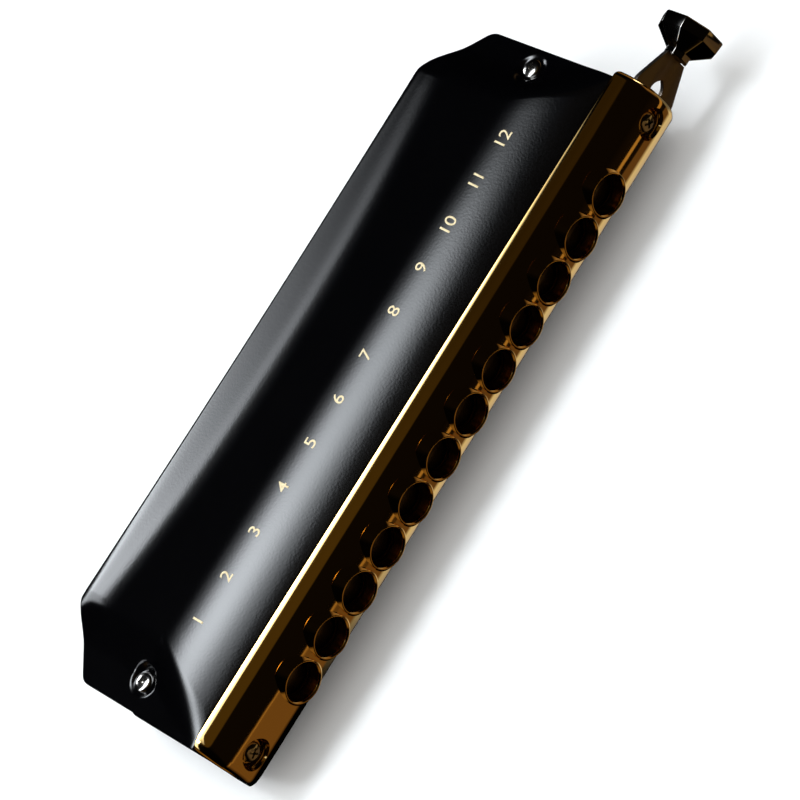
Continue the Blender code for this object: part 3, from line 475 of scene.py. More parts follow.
# %% Black lacquer
def black_lacquer():
    """Sprayed black enamel: a deep black under a clear gloss that reflects lights as soft grey."""
    made, tree, shader, place = new_material("sprayed_black_enamel", "#020203", Roughness=0.12)
    skin = add(tree, "ShaderNodeTexNoise", Vector=place, Scale=per_mm(0.45), Detail=2.0)
    bump = add(
        tree, "ShaderNodeBump", Height=skin.outputs["Fac"], Strength=0.15, Distance=0.00005
    )
    tree.links.new(bump.outputs["Normal"], shader.inputs["Normal"])
    dust = add(tree, "ShaderNodeTexNoise", Vector=place, Scale=per_mm(14.0), Detail=5.0)
    rough = add(
        tree, "ShaderNodeMapRange", Value=dust.outputs["Fac"], To_Min=0.10, To_Max=0.14
    )
    tree.links.new(rough.outputs["Result"], shader.inputs["Roughness"])
    return made


lacquer = black_lacquer()

# %% [markdown]
# ## Covers
#
# Each cover is a sheet pressed over a die. It has a flat crown, a long slope to
# the front, a short one to the back, steep sides that run down to flanges at the
# ends, and a shallow dimple round each screw. One rule gives the height of the
# outer face at any place, so a fine grid can take the shape of the whole press
# in one go. The grid's rows get shorter where the rear corners are cut off.

# %% Sizes of the covers
BODY_FRONT = 7.0 * MM
COVER_REAR = 49.4 * MM
COVER_END = {-1: 72.0 * MM, 1: 70.4 * MM}
COVER_THICK = 0.8 * MM
FLANGE_HEIGHT = 7.9 * MM
CROWN_FRONT = 24.0 * MM
CROWN_REAR = 33.2 * MM
DOME_END = 66.2 * MM
DOME_SIDE = 9.3 * MM
REAR_ROLL = 2.0 * MM  # the rear edge is rolled down with this radius
FLANGE_SLOPE = 0.115  # the flanges rise a little from the ends towards the dome
COVER_SCREW_X = 66.3 * MM
COVER_SCREW_DEPTH = 25.5 * MM
DIMPLE_WALL = 1.2 * MM


# %% Height of a cover at any place
def ramp(value):
    """A smooth step from 0 to 1."""
    value = min(max(value, 0.0), 1.0)
    return value * value * (3 - 2 * value)


def dome_foot(depth):
    """Half length of the dome at its foot. It flares towards the front."""
    return DOME_END + 8.6 * MM * max(0.0, CROWN_FRONT - depth) / (CROWN_FRONT - BODY_FRONT)


def cover_height(x, depth):
    """Height of the outer face over the middle plane."""
    drop = 4.1 * MM * (max(0.0, CROWN_FRONT - depth) / (16.5 * MM)) ** 1.7
    start = CROWN_REAR + 6.6 * MM * min(abs(x) / DOME_END, 1.0) ** 2
    drop += 2.45 * MM * (max(0.0, depth - start) / (15.8 * MM)) ** 1.5
    drop += 0.9 * MM * (abs(x) / DOME_END * max(0.0, depth - 45.0 * MM) / (4.4 * MM)) ** 2
    rolled = max(0.0, depth - COVER_REAR + 1.4 * MM)
    drop += REAR_ROLL - math.sqrt(REAR_ROLL**2 - rolled**2)
    side = ramp((dome_foot(depth) - abs(x)) / DOME_SIDE)
    flange = FLANGE_HEIGHT + FLANGE_SLOPE * max(0.0, 71.0 * MM - abs(x))
    height = flange + (MID_Z - drop - flange) * side
    away = math.hypot(abs(x) - COVER_SCREW_X, depth - COVER_SCREW_DEPTH)
    pressed = 1 - ramp((away - 2.2 * MM) / DIMPLE_WALL)
    return height + (FLANGE_HEIGHT - height) * pressed


print("crown", round(cover_height(0, 28 * MM) / MM, 2), "mm, front edge", round(cover_height(0, BODY_FRONT) / MM, 2))


# %% The plan of a cover, as a half width for each row
CHAMFER_START = 39.3 * MM
CHAMFER_RUN = 13.9 * MM


def plan_end(side):
    """The outline of one end, as (depth, half width) from front to rear."""
    end = COVER_END[side]
    corners = [(CHAMFER_START, end), (COVER_REAR, end - CHAMFER_RUN)]
    front = bend((BODY_FRONT, end), corners[0], corners[1], 1.6 * MM, 8)
    rear = bend(corners[0], corners[1], (COVER_REAR, 0.0), 1.6 * MM, 8)
    return [(BODY_FRONT, end)] + front + rear


def half_width(outline, depth):
    """Half width at a depth, between the outline's points."""
    for (d0, w0), (d1, w1) in zip(outline, outline[1:]):
        if d0 <= depth <= d1 and d1 > d0:
            return w0 + (w1 - w0) * (depth - d0) / (d1 - d0)
    return outline[-1][1]


def steps(stops):
    """Values between stops, each (value, size of the steps to the next)."""
    values = []
    for (start, size), (end, _) in zip(stops, stops[1:]):
        count = max(1, round((end - start) / size))
        values += [start + (end - start) * n / count for n in range(count)]
    return values + [stops[-1][0]]


def cover_rows():
    """Depths of the grid's rows: close together at the screws and at the cut corners."""
    stops = [
        (BODY_FRONT, 0.7 * MM),
        (21.7 * MM, 0.24 * MM),
        (29.3 * MM, 0.9 * MM),
        (COVER_REAR - 1.7 * MM, 0.12 * MM),
        (COVER_REAR, 1.0),
    ]
    rows = steps(stops) + [depth for side in (-1, 1) for depth, _ in plan_end(side)]
    rows = sorted(rows)
    kept = [r for r, before in zip(rows, [-1.0] + rows) if r - before > 0.03 * MM]
    return kept[:-1] + [COVER_REAR]


def cover_columns(depth, side, width):
    """Distances from the middle on one side of a row: crown, dome's side, flange."""
    foot = dome_foot(depth)
    top = foot - DOME_SIDE
    crown = steps([(0.0, 2.4 * MM), (50.0 * MM, 1.0)])
    crown = [c * top / (50.0 * MM) for c in crown]
    slope = [top + DOME_SIDE * n / 22 for n in range(1, 23)]
    flange = [foot + max(0.0, COVER_END[side] - foot) * n / 36 for n in range(1, 37)]
    return [min(x, width) for x in crown + slope + flange]


# %% The pressed sheet
def cover_sheet(name, sign):
    outlines = {side: plan_end(side) for side in (-1, 1)}
    rows = cover_rows()
    places = []
    for depth in rows:
        left = cover_columns(depth, -1, half_width(outlines[-1], depth))
        right = cover_columns(depth, 1, half_width(outlines[1], depth))
        places.append([-x for x in reversed(left)] + right[1:])
    across = len(places[0])
    bm = bmesh.new()
    bmesh.ops.create_grid(bm, x_segments=across - 1, y_segments=len(rows) - 1, size=1.0)
    for vert in bm.verts:
        row = round((vert.co.y + 1) / 2 * (len(rows) - 1))
        column = round((vert.co.x + 1) / 2 * (across - 1))
        x = places[row][column]
        vert.co = (x, rows[row], sign * cover_height(x, rows[row]))
    bmesh.ops.remove_doubles(bm, verts=bm.verts, dist=1e-6)
    if sign < 0:
        bmesh.ops.reverse_faces(bm, faces=bm.faces)
    return to_object(name, bm)


# %% [markdown]
# The sheet gets its thickness from a Solidify modifier, inwards, because the
# outer face is what was measured. A small Bevel takes the sharpness off its
# rims, as the lacquer does on the real one. Then the screw holes are drilled.


# %% Thickness, rims and holes
def make_cover(name, sign, node, hole_radius):
    cover = cover_sheet(name, sign)
    shell = cover.modifiers.new("thickness", "SOLIDIFY")
    shell.thickness = COVER_THICK
    shell.offset = -1.0
    shell.use_even_offset = True
    rims = cover.modifiers.new("rims", "BEVEL")
    rims.width = 0.18 * MM
    rims.segments = 3
    rims.limit_method = "ANGLE"
    rims.angle_limit = math.radians(60)
    bake(cover)
    drills = []
    for side in SIDES:
        low = (FLANGE_HEIGHT - 2.5 * MM) if sign > 0 else -(FLANGE_HEIGHT + MM)
        drill = lathe([(0, 0), (hole_radius, 0), (hole_radius, 3.5 * MM), (0, 3.5 * MM)], 48)
        drills.append(placed(drill, Matrix.Identity(3), (side * COVER_SCREW_X, COVER_SCREW_DEPTH, low)))
    carve(cover, [joined("drills", drills)])
    smooth(cover, 40)
    dressed(cover, lacquer, "instrument", "black_lacquer", node)
    return cover


upper_shell = make_cover("lacquered_upper_cover", 1, "upper_cover", 1.5 * MM)
lower_shell = make_cover("lacquered_lower_cover", -1, "lower_cover", 2.2 * MM)

# %% [markdown]
# ## Hole numbers
#
# Small numbers on the upper cover say which hole is which. They are printed
# with pale gold ink, thin strokes about two and a half millimetres high, each
# behind its hole. Text starts as a curve. It becomes a mesh, gets enough points
# to follow the curved cover, and a thin layer of ink over it.


# %% Printed ink
def gold_ink():
    """Screen printed metallic ink: pale gold, a little grainy, neither mirror nor matt."""
    made, tree, shader, place = new_material(
        "gold_printing_ink", "#dccaa0", Roughness=0.5, Metallic=0.1
    )
    grain = add(tree, "ShaderNodeTexNoise", Vector=place, Scale=per_mm(0.15), Detail=2.0)
    tint = add(
        tree,
        "ShaderNodeMix",
        {"data_type": "RGBA"},
        Factor=grain.outputs["Fac"],
    )
    tint.inputs[6].default_value = colour("#cdb98c")
    tint.inputs[7].default_value = colour("#e8dab4")
    tree.links.new(tint.outputs[2], shader.inputs["Base Color"])
    return made


ink = gold_ink()

# %% Numbers 1 to 12
NUMBER_HEIGHT = 2.45 * MM
NUMBER_DEPTH = 18.8 * MM  # middle of the row of numbers
NUMBER_SHIFT = -0.45 * MM  # the printing lies a little to the left of the holes
NUMBER_WIDENING = 1.18
INK_THICK = 0.02 * MM


def number_mesh(text, x):
    """Flat outlines of a number, in the plan of the cover."""
    curve = bpy.data.curves.new("number", "FONT")
    curve.body = text
    curve.size = NUMBER_HEIGHT / 0.73  # capital height is 0.73 of the size
    curve.align_x = "CENTER"
    curve.align_y = "CENTER"
    curve.resolution_u = 6
    curve.offset = 0.00001
    drawn = bpy.data.objects.new("number", curve)
    bpy.context.scene.collection.objects.link(drawn)
    mesh = bpy.data.meshes.new_from_object(drawn.evaluated_get(bpy.context.evaluated_depsgraph_get()))
    bpy.data.objects.remove(drawn, do_unlink=True)
    bm = bmesh.new()
    bm.from_mesh(mesh)
    bmesh.ops.remove_doubles(bm, verts=bm.verts, dist=1e-7)
    lows = [min(v.co[axis] for v in bm.verts) for axis in (0, 1)]
    highs = [max(v.co[axis] for v in bm.verts) for axis in (0, 1)]
    middle = Vector(((lows[0] + highs[0]) / 2, (lows[1] + highs[1]) / 2, 0))
    bmesh.ops.translate(bm, verts=bm.verts, vec=-middle)
    bmesh.ops.scale(bm, verts=bm.verts, vec=(NUMBER_WIDENING, 1.0, 1.0))
    bmesh.ops.translate(bm, verts=bm.verts, vec=(x + NUMBER_SHIFT, NUMBER_DEPTH, 0))
    return bm


def make_numbers():
    numbers = joined("printed_numbers", [number_mesh(str(n + 1), x) for n, x in enumerate(HOLE_XS)])
    bm = bmesh.new()
    bm.from_mesh(numbers.data)
    cuts = [(step * 0.4 * MM, 0.0) for step in range(-150, 151)]
    cuts += [(0.0, NUMBER_DEPTH + step * 0.4 * MM) for step in range(-3, 4)]
    for x, depth in cuts:
        bmesh.ops.bisect_plane(
            bm,
            geom=bm.verts[:] + bm.edges[:] + bm.faces[:],
            plane_co=(x, depth, 0.0),
            plane_no=(1, 0, 0) if depth == 0.0 else (0, 1, 0),
        )
    for vert in bm.verts:
        vert.co.z = cover_height(vert.co.x, vert.co.y) + INK_THICK
    bm.normal_update()
    if sum(face.normal.z for face in bm.faces) < 0:
        bmesh.ops.reverse_faces(bm, faces=bm.faces)
    bm.to_mesh(numbers.data)
    bm.free()
    layer = numbers.modifiers.new("ink", "SOLIDIFY")
    layer.thickness = 2 * INK_THICK
    layer.offset = -1.0
    bake(numbers)
    dressed(numbers, ink, "instrument", "gold_plate")
    return numbers


numbers = make_numbers()
print("numbers printed at depth", round(NUMBER_DEPTH / MM, 1), "mm")


# %% [markdown]
# ## Nickel, steel and brass
#
# The slide and its button are steel under dark nickel plate. The slide is
# ground flat, which leaves fine lines along it, and the button is polished. The
# screws are brighter. Reed plates and reeds are rolled brass, with lines along
# the rolling direction. Lines are noise that is stretched many times along X.


# %% Other metals
def lined_metal(name, base, roughness, grain, line_width):
    """Metal with fine lines along X. Grain is how much the roughness varies between them."""
    made, tree, shader, place = new_material(name, base, Metallic=1.0)
    across = per_mm(line_width)
    stretched = add(tree, "ShaderNodeMapping", Vector=place, Scale=(across / 60, across, across))
    lines = add(tree, "ShaderNodeTexNoise", Vector=stretched.outputs["Vector"], Scale=1.0, Detail=3.0)
    rough = add(
        tree,
        "ShaderNodeMapRange",
        Value=lines.outputs["Fac"],
        To_Min=roughness - grain,
        To_Max=roughness + grain,
    )
    tree.links.new(rough.outputs["Result"], shader.inputs["Roughness"])
    bump = add(
        tree, "ShaderNodeBump", Height=lines.outputs["Fac"], Strength=0.1, Distance=0.00001
    )
    tree.links.new(bump.outputs["Normal"], shader.inputs["Normal"])
    return made


# Ground steel under dark nickel: a satin grey-brown with a soft sheen along its lines.
ground_nickel = lined_metal("dark_nickel_on_ground_steel", "#8d837a", 0.36, 0.09, 0.12)
# The same plate on polished steel: dark, with crisp reflections.
polished_nickel = lined_metal("dark_nickel_on_polished_steel", "#b0adaa", 0.07, 0.02, 0.3)
# Bright plate on turned screws: nearly white where it meets the light.
screw_plate = lined_metal("bright_nickel_screws", "#c9c6c2", 0.14, 0.04, 0.1)
# Rolled brass: yellow, half matt, with lines along the sheet.
brass = lined_metal("rolled_brass", "#c9a25a", 0.34, 0.08, 0.1)
# Drawn spring wire: grey and smooth.
wire = lined_metal("drawn_spring_wire", "#a8a8ac", 0.26, 0.04, 0.05)

# %% [markdown]
# ## Screws
#
# Two screws hold the mouthpiece and two hold the covers. All have a low round
# head with a cross recess. The recess is a cross whose arms get narrower
# towards the bottom, so a block is scaled at its lower face before it cuts.


# %% A pan head screw
def drive_arm(length, width, depth):
    """One arm of the cross, tapered towards its bottom."""
    bm = block((-length / 2, -width / 2, -depth), (length / 2, width / 2, 0.5 * MM))
    lower = [v for v in bm.verts if v.co.z < 0]
    bmesh.ops.scale(bm, verts=lower, vec=(0.62, 0.8, 1.0))
    return bm


def screw_bm(length):
    """A screw that points down, with its head's top at the origin."""
    crown = [(0.0, 0.0), (0.3, 0.02), (0.55, 0.08), (0.75, 0.19), (0.9, 0.36), (0.97, 0.52), (1.0, 0.7)]
    head = [(2.0 * MM * wide, -1.0 * MM * deep) for wide, deep in crown]
    under = [(2.0 * MM, -0.93 * MM), (1.93 * MM, -1.0 * MM), (1.1 * MM, -1.0 * MM)]
    return lathe(head + under + [(1.1 * MM, -length), (0, -length)], 64)


def make_screw(name, length, turn, place, node):
    made = to_object(name, screw_bm(length))
    arms = [drive_arm(2.4 * MM, 0.5 * MM, 0.75 * MM), drive_arm(0.5 * MM, 2.4 * MM, 0.75 * MM)]
    for arm in arms:
        carve(made, [to_object("arm", arm)])
    made.data.transform(Matrix.Translation(place) @ turn)
    smooth(made, 35)
    dressed(made, screw_plate, "instrument", "screw_steel", node)


for side, turn in ((-1, 35), (1, 10)):
    make_screw(
        "cover_bolt_" + SIDES[side],
        17.0 * MM,
        Matrix.Rotation(math.radians(turn), 4, "Z"),
        (side * COVER_SCREW_X, COVER_SCREW_DEPTH, 8.88 * MM),
        "cover_screw_" + SIDES[side],
    )
for side, turn in ((-1, 20), (1, 50)):
    outward = Matrix.Rotation(math.radians(90), 4, "X") @ Matrix.Rotation(math.radians(turn), 4, "Z")
    make_screw(
        "mouth_bolt_" + SIDES[side],
        12.5 * MM,
        outward,
        (side * MOUTH_SCREW_X, 1.0 * MM, 0),
        "mouthpiece_screw_" + SIDES[side],
    )

# %% [markdown]
# ## Slide and button
#
# The slide is punched from sheet. Its outline and all its holes are one flat
# curve, and a curve can be given a thickness and a rounded edge at once, which
# is what tumbling does to a punched sheet.

# %% Outline of the slide
SLIDE_MIDDLE = 4.15 * MM
SLIDE_TRAVEL = 4.7 * MM
TAB_END = 80.1 * MM


def rectangle(left, right, low, high):
    return [(left, low), (right, low), (right, high), (left, high)]


def round_hole(x, radius, count=24):
    turns = [2 * math.pi * n / count for n in range(count)]
    return [(x + radius * math.cos(t), radius * math.sin(t)) for t in turns]


def drop_hole():
    """The long hole for the right screw: round at its inner end, and pointed at its outer one."""
    half = 1.7 * MM
    end = MOUTH_SCREW_X + SLIDE_TRAVEL + 1.4 * MM
    turns = [math.radians(90 + 180 * n / 20) for n in range(21)]
    inner = [(MOUTH_SCREW_X + half * math.cos(t), half * math.sin(t)) for t in turns]
    outer = bend((end - 2 * MM, -half), (end + 1.2 * MM, -half), (end + 2.4 * MM, 0), 1.4 * MM, 8)
    tip = (end + 2.4 * MM, 0.0)
    return inner + outer + [tip] + [(x, -z) for x, z in reversed(outer)]


def slide_outline():
    flank = MOUTH_END + 0.6 * MM
    upper = [
        (TAB_END + 2.8 * MM, 1.6 * MM),
        (TAB_END, 1.6 * MM),
        (TAB_END, 3.0 * MM),
        *bend((TAB_END, 3.0 * MM), (flank, 6.1 * MM), (0.0, 6.1 * MM), 0.8 * MM, 5),
        (HOLE_XS[0] - 5.5 * MM, 6.1 * MM),
    ]
    return [(x, -z) for x, z in reversed(upper)] + upper


# %% The slide
def punched(name, outlines, thickness, edge):
    """A sheet punched from flat outlines, with rounded edges. It stands in the plane of X and Z."""
    curve = bpy.data.curves.new(name, "CURVE")
    curve.dimensions = "2D"
    curve.fill_mode = "BOTH"
    curve.extrude = thickness / 2 - edge
    curve.bevel_depth = edge
    curve.bevel_resolution = 2
    curve.offset = -edge
    for outline in outlines:
        spline = curve.splines.new("POLY")
        spline.points.add(len(outline) - 1)
        for point, (x, z) in zip(spline.points, outline):
            point.co = (x, z, 0.0, 1.0)
        spline.use_cyclic_u = True
    drawn = bpy.data.objects.new(name, curve)
    bpy.context.scene.collection.objects.link(drawn)
    mesh = bpy.data.meshes.new_from_object(drawn.evaluated_get(bpy.context.evaluated_depsgraph_get()))
    bpy.data.objects.remove(drawn, do_unlink=True)
    bm = bmesh.new()
    bm.from_mesh(mesh)
    bmesh.ops.remove_doubles(bm, verts=bm.verts, dist=1e-7)
    bmesh.ops.recalc_face_normals(bm, faces=bm.faces)
    return to_object(name, bm)


def make_slide():
    ports = []
    for x in HOLE_XS:
        ports.append(rectangle(x - 2.1 * MM, x + 2.1 * MM, 1.2 * MM, 5.0 * MM))
        shifted = x + SLIDE_TRAVEL
        ports.append(rectangle(shifted - 2.1 * MM, shifted + 2.1 * MM, -5.0 * MM, -1.2 * MM))
    small = [round_hole(63.5 * MM, 0.7 * MM, 12), round_hole(81.7 * MM, 0.9 * MM, 12)]
    slide = punched("nickel_slide", [slide_outline(), drop_hole(), *ports, *small], 0.8 * MM, 0.07 * MM)
    slide.data.transform(Matrix.Translation((0, SLIDE_MIDDLE, 0)) @ Matrix.Rotation(math.radians(90), 4, "X"))
    smooth(slide, 40, flat_area=(3 * MM) ** 2)
    dressed(slide, ground_nickel, "slide", "slide_steel", "slide")


make_slide()

# %% [markdown]
# The button is cut with eight flat sides: a cone that widens from the neck, a
# straight rim, and a face with a slanted edge. Eight steps of the lathe give
# the flats. Then every edge is bevelled a little, because it is these thin
# rounded edges that catch the light on a polished piece.


# %% The button
def make_button():
    profile = [
        (0, 0),
        (2.6 * MM, 0),
        (2.6 * MM, 1.2 * MM),
        (6.25 * MM, 4.1 * MM),
        (6.45 * MM, 6.3 * MM),
        (6.15 * MM, 6.6 * MM),
        (0, 6.6 * MM),
    ]
    bm = lathe(profile, 8, phase=math.pi / 8)
    sharp = [e for e in bm.edges if e.calc_face_angle(0.0) > math.radians(10)]
    bmesh.ops.bevel(
        bm,
        geom=sharp,
        offset=0.1 * MM,
        offset_type="OFFSET",
        affect="EDGES",
        segments=3,
        profile=0.5,
        material=-1,
    )
    bmesh.ops.recalc_face_normals(bm, faces=bm.faces)
    along = Matrix.Rotation(math.radians(90), 3, "Y")
    made = to_object("nickel_button", placed(bm, along, (TAB_END, SLIDE_MIDDLE, 0)))
    slot = block((TAB_END - MM, 3.45 * MM, -1.9 * MM), (TAB_END + 3.1 * MM, 4.85 * MM, 1.9 * MM))
    groove = block((TAB_END - MM, 3.45 * MM, -3.2 * MM), (TAB_END + 0.3 * MM, 4.85 * MM, 3.2 * MM))
    drill = lathe([(0, -1.5 * MM), (0.9 * MM, -1.5 * MM), (0.9 * MM, 8 * MM), (0, 8 * MM)], 32)
    placed(drill, INTO_HOLE, (81.7 * MM, SLIDE_MIDDLE, 0))
    for number, tool in enumerate((slot, groove, drill)):
        carve(made, [to_object(f"tool_{number}", tool)])
    smooth(made, 25, flat_area=(1.2 * MM) ** 2)
    dressed(made, polished_nickel, "slide", "slide_steel", "button")


make_button()


# %% [markdown]
# ## Plastic, silicone and film
#
# The comb is moulded plastic with a fine matt texture. The seal and the bumper
# are silicone, soft and dull. The valves are thin film, slightly cloudy.


# %% Soft and moulded pieces
def moulded(name, base, second, roughness, speckle, height):
    """A moulded surface whose colour, roughness and height vary finely."""
    made, tree, shader, place = new_material(name, base)
    grain = add(tree, "ShaderNodeTexNoise", Vector=place, Scale=per_mm(speckle), Detail=3.0)
    tint = add(tree, "ShaderNodeMix", {"data_type": "RGBA"}, Factor=grain.outputs["Fac"])
    tint.inputs[6].default_value = colour(base)
    tint.inputs[7].default_value = colour(second)
    tree.links.new(tint.outputs[2], shader.inputs["Base Color"])
    rough = add(
        tree,
        "ShaderNodeMapRange",
        Value=grain.outputs["Fac"],
        To_Min=roughness - 0.08,
        To_Max=roughness + 0.08,
    )
    tree.links.new(rough.outputs["Result"], shader.inputs["Roughness"])
    bump = add(
        tree, "ShaderNodeBump", Height=grain.outputs["Fac"], Strength=0.25, Distance=height
    )
    tree.links.new(bump.outputs["Normal"], shader.inputs["Normal"])
    return made


# Moulded ABS: near black and matt, with the mould's fine spark texture.
comb_plastic = moulded("moulded_abs", "#161618", "#202022", 0.52, 0.25, 0.00003)
# Silicone: dull grey, without highlights.
silicone = moulded("cast_silicone", "#565659", "#626265", 0.75, 0.8, 0.00005)
# Polyester film: pale, cloudy and half glossy.
film = moulded("polyester_film", "#d4d4cc", "#e2e2da", 0.38, 1.2, 0.00001)

FINISHES = {
    "comb": comb_plastic,
    "comb_seal": silicone,
    "slide_bumper": silicone,
    "slide_spring": wire,
}
HIDDEN = ("mouthpiece", "upper_cover", "lower_cover", "slide", "button")
for name in nodes:
    if name in HIDDEN or name.startswith(("cover_screw", "mouthpiece_screw")):
        continue
    if name in FINISHES:
        dress(name, FINISHES[name])
    elif "valves" in name:
        dress(name, film)
    elif "plate_screw" in name or "reed" in name or "slide_" in name:
        dress(name, brass)
    else:
        dress(name, screw_plate)

# %% [markdown]
# ## Floor and light
#
# The instrument lies on a plain pale floor. A mirror and a black gloss show
# only what they reflect, so most of the room round them is dark, as in a
# studio with black cloth, and large soft boxes draw the highlights. The floor
# itself isn't seen in the reflections. The world below the horizon takes its
# place there, with painted shade in front of the instrument.


# %% Floor
def make_floor():
    bm = bmesh.new()
    bmesh.ops.create_grid(bm, x_segments=1, y_segments=1, size=4.0)
    floor = to_object("floor", bm)
    made, tree, shader, place = new_material("matt_studio_floor", "#ececeb", Roughness=0.7)
    soft = add(tree, "ShaderNodeTexNoise", Vector=place, Scale=per_mm(60.0), Detail=2.0)
    tint = add(tree, "ShaderNodeMix", {"data_type": "RGBA"}, Factor=soft.outputs["Fac"])
    tint.inputs[6].default_value = colour("#eaeae9")
    tint.inputs[7].default_value = colour("#eeeeed")
    tree.links.new(tint.outputs[2], shader.inputs["Base Color"])
    floor.data.materials.append(made)
    # Its reflection comes from the world below the horizon, with painted shade in front of the instrument.
    floor.visible_glossy = False


make_floor()


# %% [markdown]
# A soft box is a glowing sheet. On a real one the cloth is brightest over the
# lamp and fades towards its edges, and this fading is what gives the reflection
# on a curved gloss its soft border. A colour ramp holds the brightness from one
# place of the sheet to the next.


# %% Ramps and glowing sheets
DAYLIGHT = (0.9, 0.95, 1.0, 1.0)  # the boxes are a little bluer than the gold is yellow


def ramp_node(tree, value, stops):
    """A colour ramp. The stops are (value, grey or colour), from low to high."""
    low, high = stops[0][0], stops[-1][0]
    share = add(tree, "ShaderNodeMapRange", Value=value, From_Min=low, From_Max=high)
    node = add(tree, "ShaderNodeValToRGB", Fac=share.outputs["Result"])
    elements = node.color_ramp.elements
    for place, _ in stops[1:-1]:
        elements.new((place - low) / (high - low))
    for element, (_, shade) in zip(elements, stops):
        rgb = shade if isinstance(shade, tuple) else (shade,) * 3
        element.color = (*rgb, 1.0)
    return node.outputs["Color"]


def multiplied(tree, *values):
    """The product of sockets or numbers."""
    result = values[0]
    for value in values[1:]:
        node = add(tree, "ShaderNodeMath", {"operation": "MULTIPLY"})
        for socket, part in zip(node.inputs, (result, value)):
            if isinstance(part, bpy.types.NodeSocket):
                tree.links.new(part, socket)
            else:
                socket.default_value = part
        result = node.outputs[0]
    return result


def leaning(tree, axes, slope):
    """A sheet's Y, plus its X times a slope: it is the same along a line that runs askew."""
    node = add(tree, "ShaderNodeMath", {"operation": "MULTIPLY_ADD"})
    tree.links.new(axes.outputs["X"], node.inputs[0])
    node.inputs[1].default_value = slope
    tree.links.new(axes.outputs["Y"], node.inputs[2])
    return node.outputs[0]


def glowing(name, bm, place, turn, brightness):
    """A sheet that glows. Brightness is a function from the tree and the place on the sheet."""
    sheet = to_object(name, bm)
    sheet.matrix_world = Matrix.Translation(place) @ turn
    glow = bpy.data.materials.new(name)
    glow.use_nodes = True
    tree = glow.node_tree
    tree.nodes.clear()
    where = add(tree, "ShaderNodeTexCoord").outputs["Object"]
    light = add(tree, "ShaderNodeEmission", Color=DAYLIGHT, Strength=brightness(tree, where))
    add(tree, "ShaderNodeOutputMaterial", Surface=light.outputs["Emission"])
    sheet.data.materials.append(glow)
    sheet.visible_camera = False
    print(name, "at", tuple(place))


# %% A wide soft box overhead
OVERHEAD = Vector((-0.05, 0.265, 0.9))


def overhead_light(tree, where):
    """Brightest along its middle, dimmer to the right, with a front edge that runs askew."""
    axes = add(tree, "ShaderNodeSeparateXYZ", Vector=where)
    deep = [(-0.29, 0.13), (-0.24, 0.15), (-0.207, 0.225), (-0.172, 0.38), (-0.137, 0.62), (-0.096, 0.85),
            (-0.057, 0.99), (-0.01, 1.0), (0.042, 0.9), (0.10, 0.53), (0.17, 0.154), (0.25, 0.03), (0.33, 0.0)]
    wide = [(-0.35, 0.26), (-0.1, 0.87), (0.02, 0.85), (0.038, 1.0), (0.068, 0.95), (0.097, 0.76),
            (0.139, 0.69), (0.18, 0.55), (0.222, 0.41), (0.264, 0.17), (0.29, 0.12), (0.42, 0.0)]
    front = [(-0.29, 0.0), (-0.26, 1.0), (0.5, 1.0)]
    corner = [(-0.65, 0.0), (-0.60, 0.28), (-0.54, 0.5), (-0.47, 0.85), (-0.43, 1.0), (0.5, 1.0)]
    return multiplied(
        tree,
        ramp_node(tree, axes.outputs["X"], wide),
        ramp_node(tree, axes.outputs["Y"], deep),
        ramp_node(tree, leaning(tree, axes, -0.35), front),
        ramp_node(tree, leaning(tree, axes, -1.8), corner),
        16.0,
    )


canopy = bmesh.new()
bmesh.ops.create_grid(canopy, x_segments=1, y_segments=1, size=0.5)
bmesh.ops.scale(canopy, verts=canopy.verts, vec=(0.84, 0.63, 1.0))
bmesh.ops.translate(canopy, verts=canopy.verts, vec=(0.0, 0.025, 0.0))
for vert in canopy.verts:
    if vert.co.y < 0:
        vert.co.y += 0.35 * vert.co.x
glowing("overhead_box", canopy, OVERHEAD, Matrix.Identity(4), overhead_light)


# %% A tall soft box on the left
def side_light(tree, where):
    """Brightest in its upper half. It leans, so its top joins the box overhead."""
    axes = add(tree, "ShaderNodeSeparateXYZ", Vector=where)
    across = [(-0.18, 0.0), (-0.12, 1.0), (0.12, 1.0), (0.18, 0.0)]
    up = [(-0.63, 0.0), (-0.55, 0.16), (-0.1, 0.2), (0.05, 1.0), (0.4, 1.0), (0.63, 0.5)]
    return multiplied(
        tree, ramp_node(tree, axes.outputs["X"], across), ramp_node(tree, axes.outputs["Y"], up), 14.0
    )


SIDE_LOW, SIDE_HIGH = Vector((-0.8, 0.45, 0.2)), Vector((-0.5, 0.18, 1.35))
rising = (SIDE_HIGH - SIDE_LOW).normalized()
facing = rising.cross(Vector((0, 1, 0))).normalized()
side_turn = Matrix((facing.cross(rising) * -1, rising, facing * -1)).transposed().to_4x4()
panel = bmesh.new()
bmesh.ops.create_grid(panel, x_segments=1, y_segments=1, size=0.5)
bmesh.ops.scale(panel, verts=panel.verts, vec=(0.36, 1.24, 1.0))
glowing("side_box", panel, (SIDE_LOW + SIDE_HIGH) / 2, side_turn, side_light)


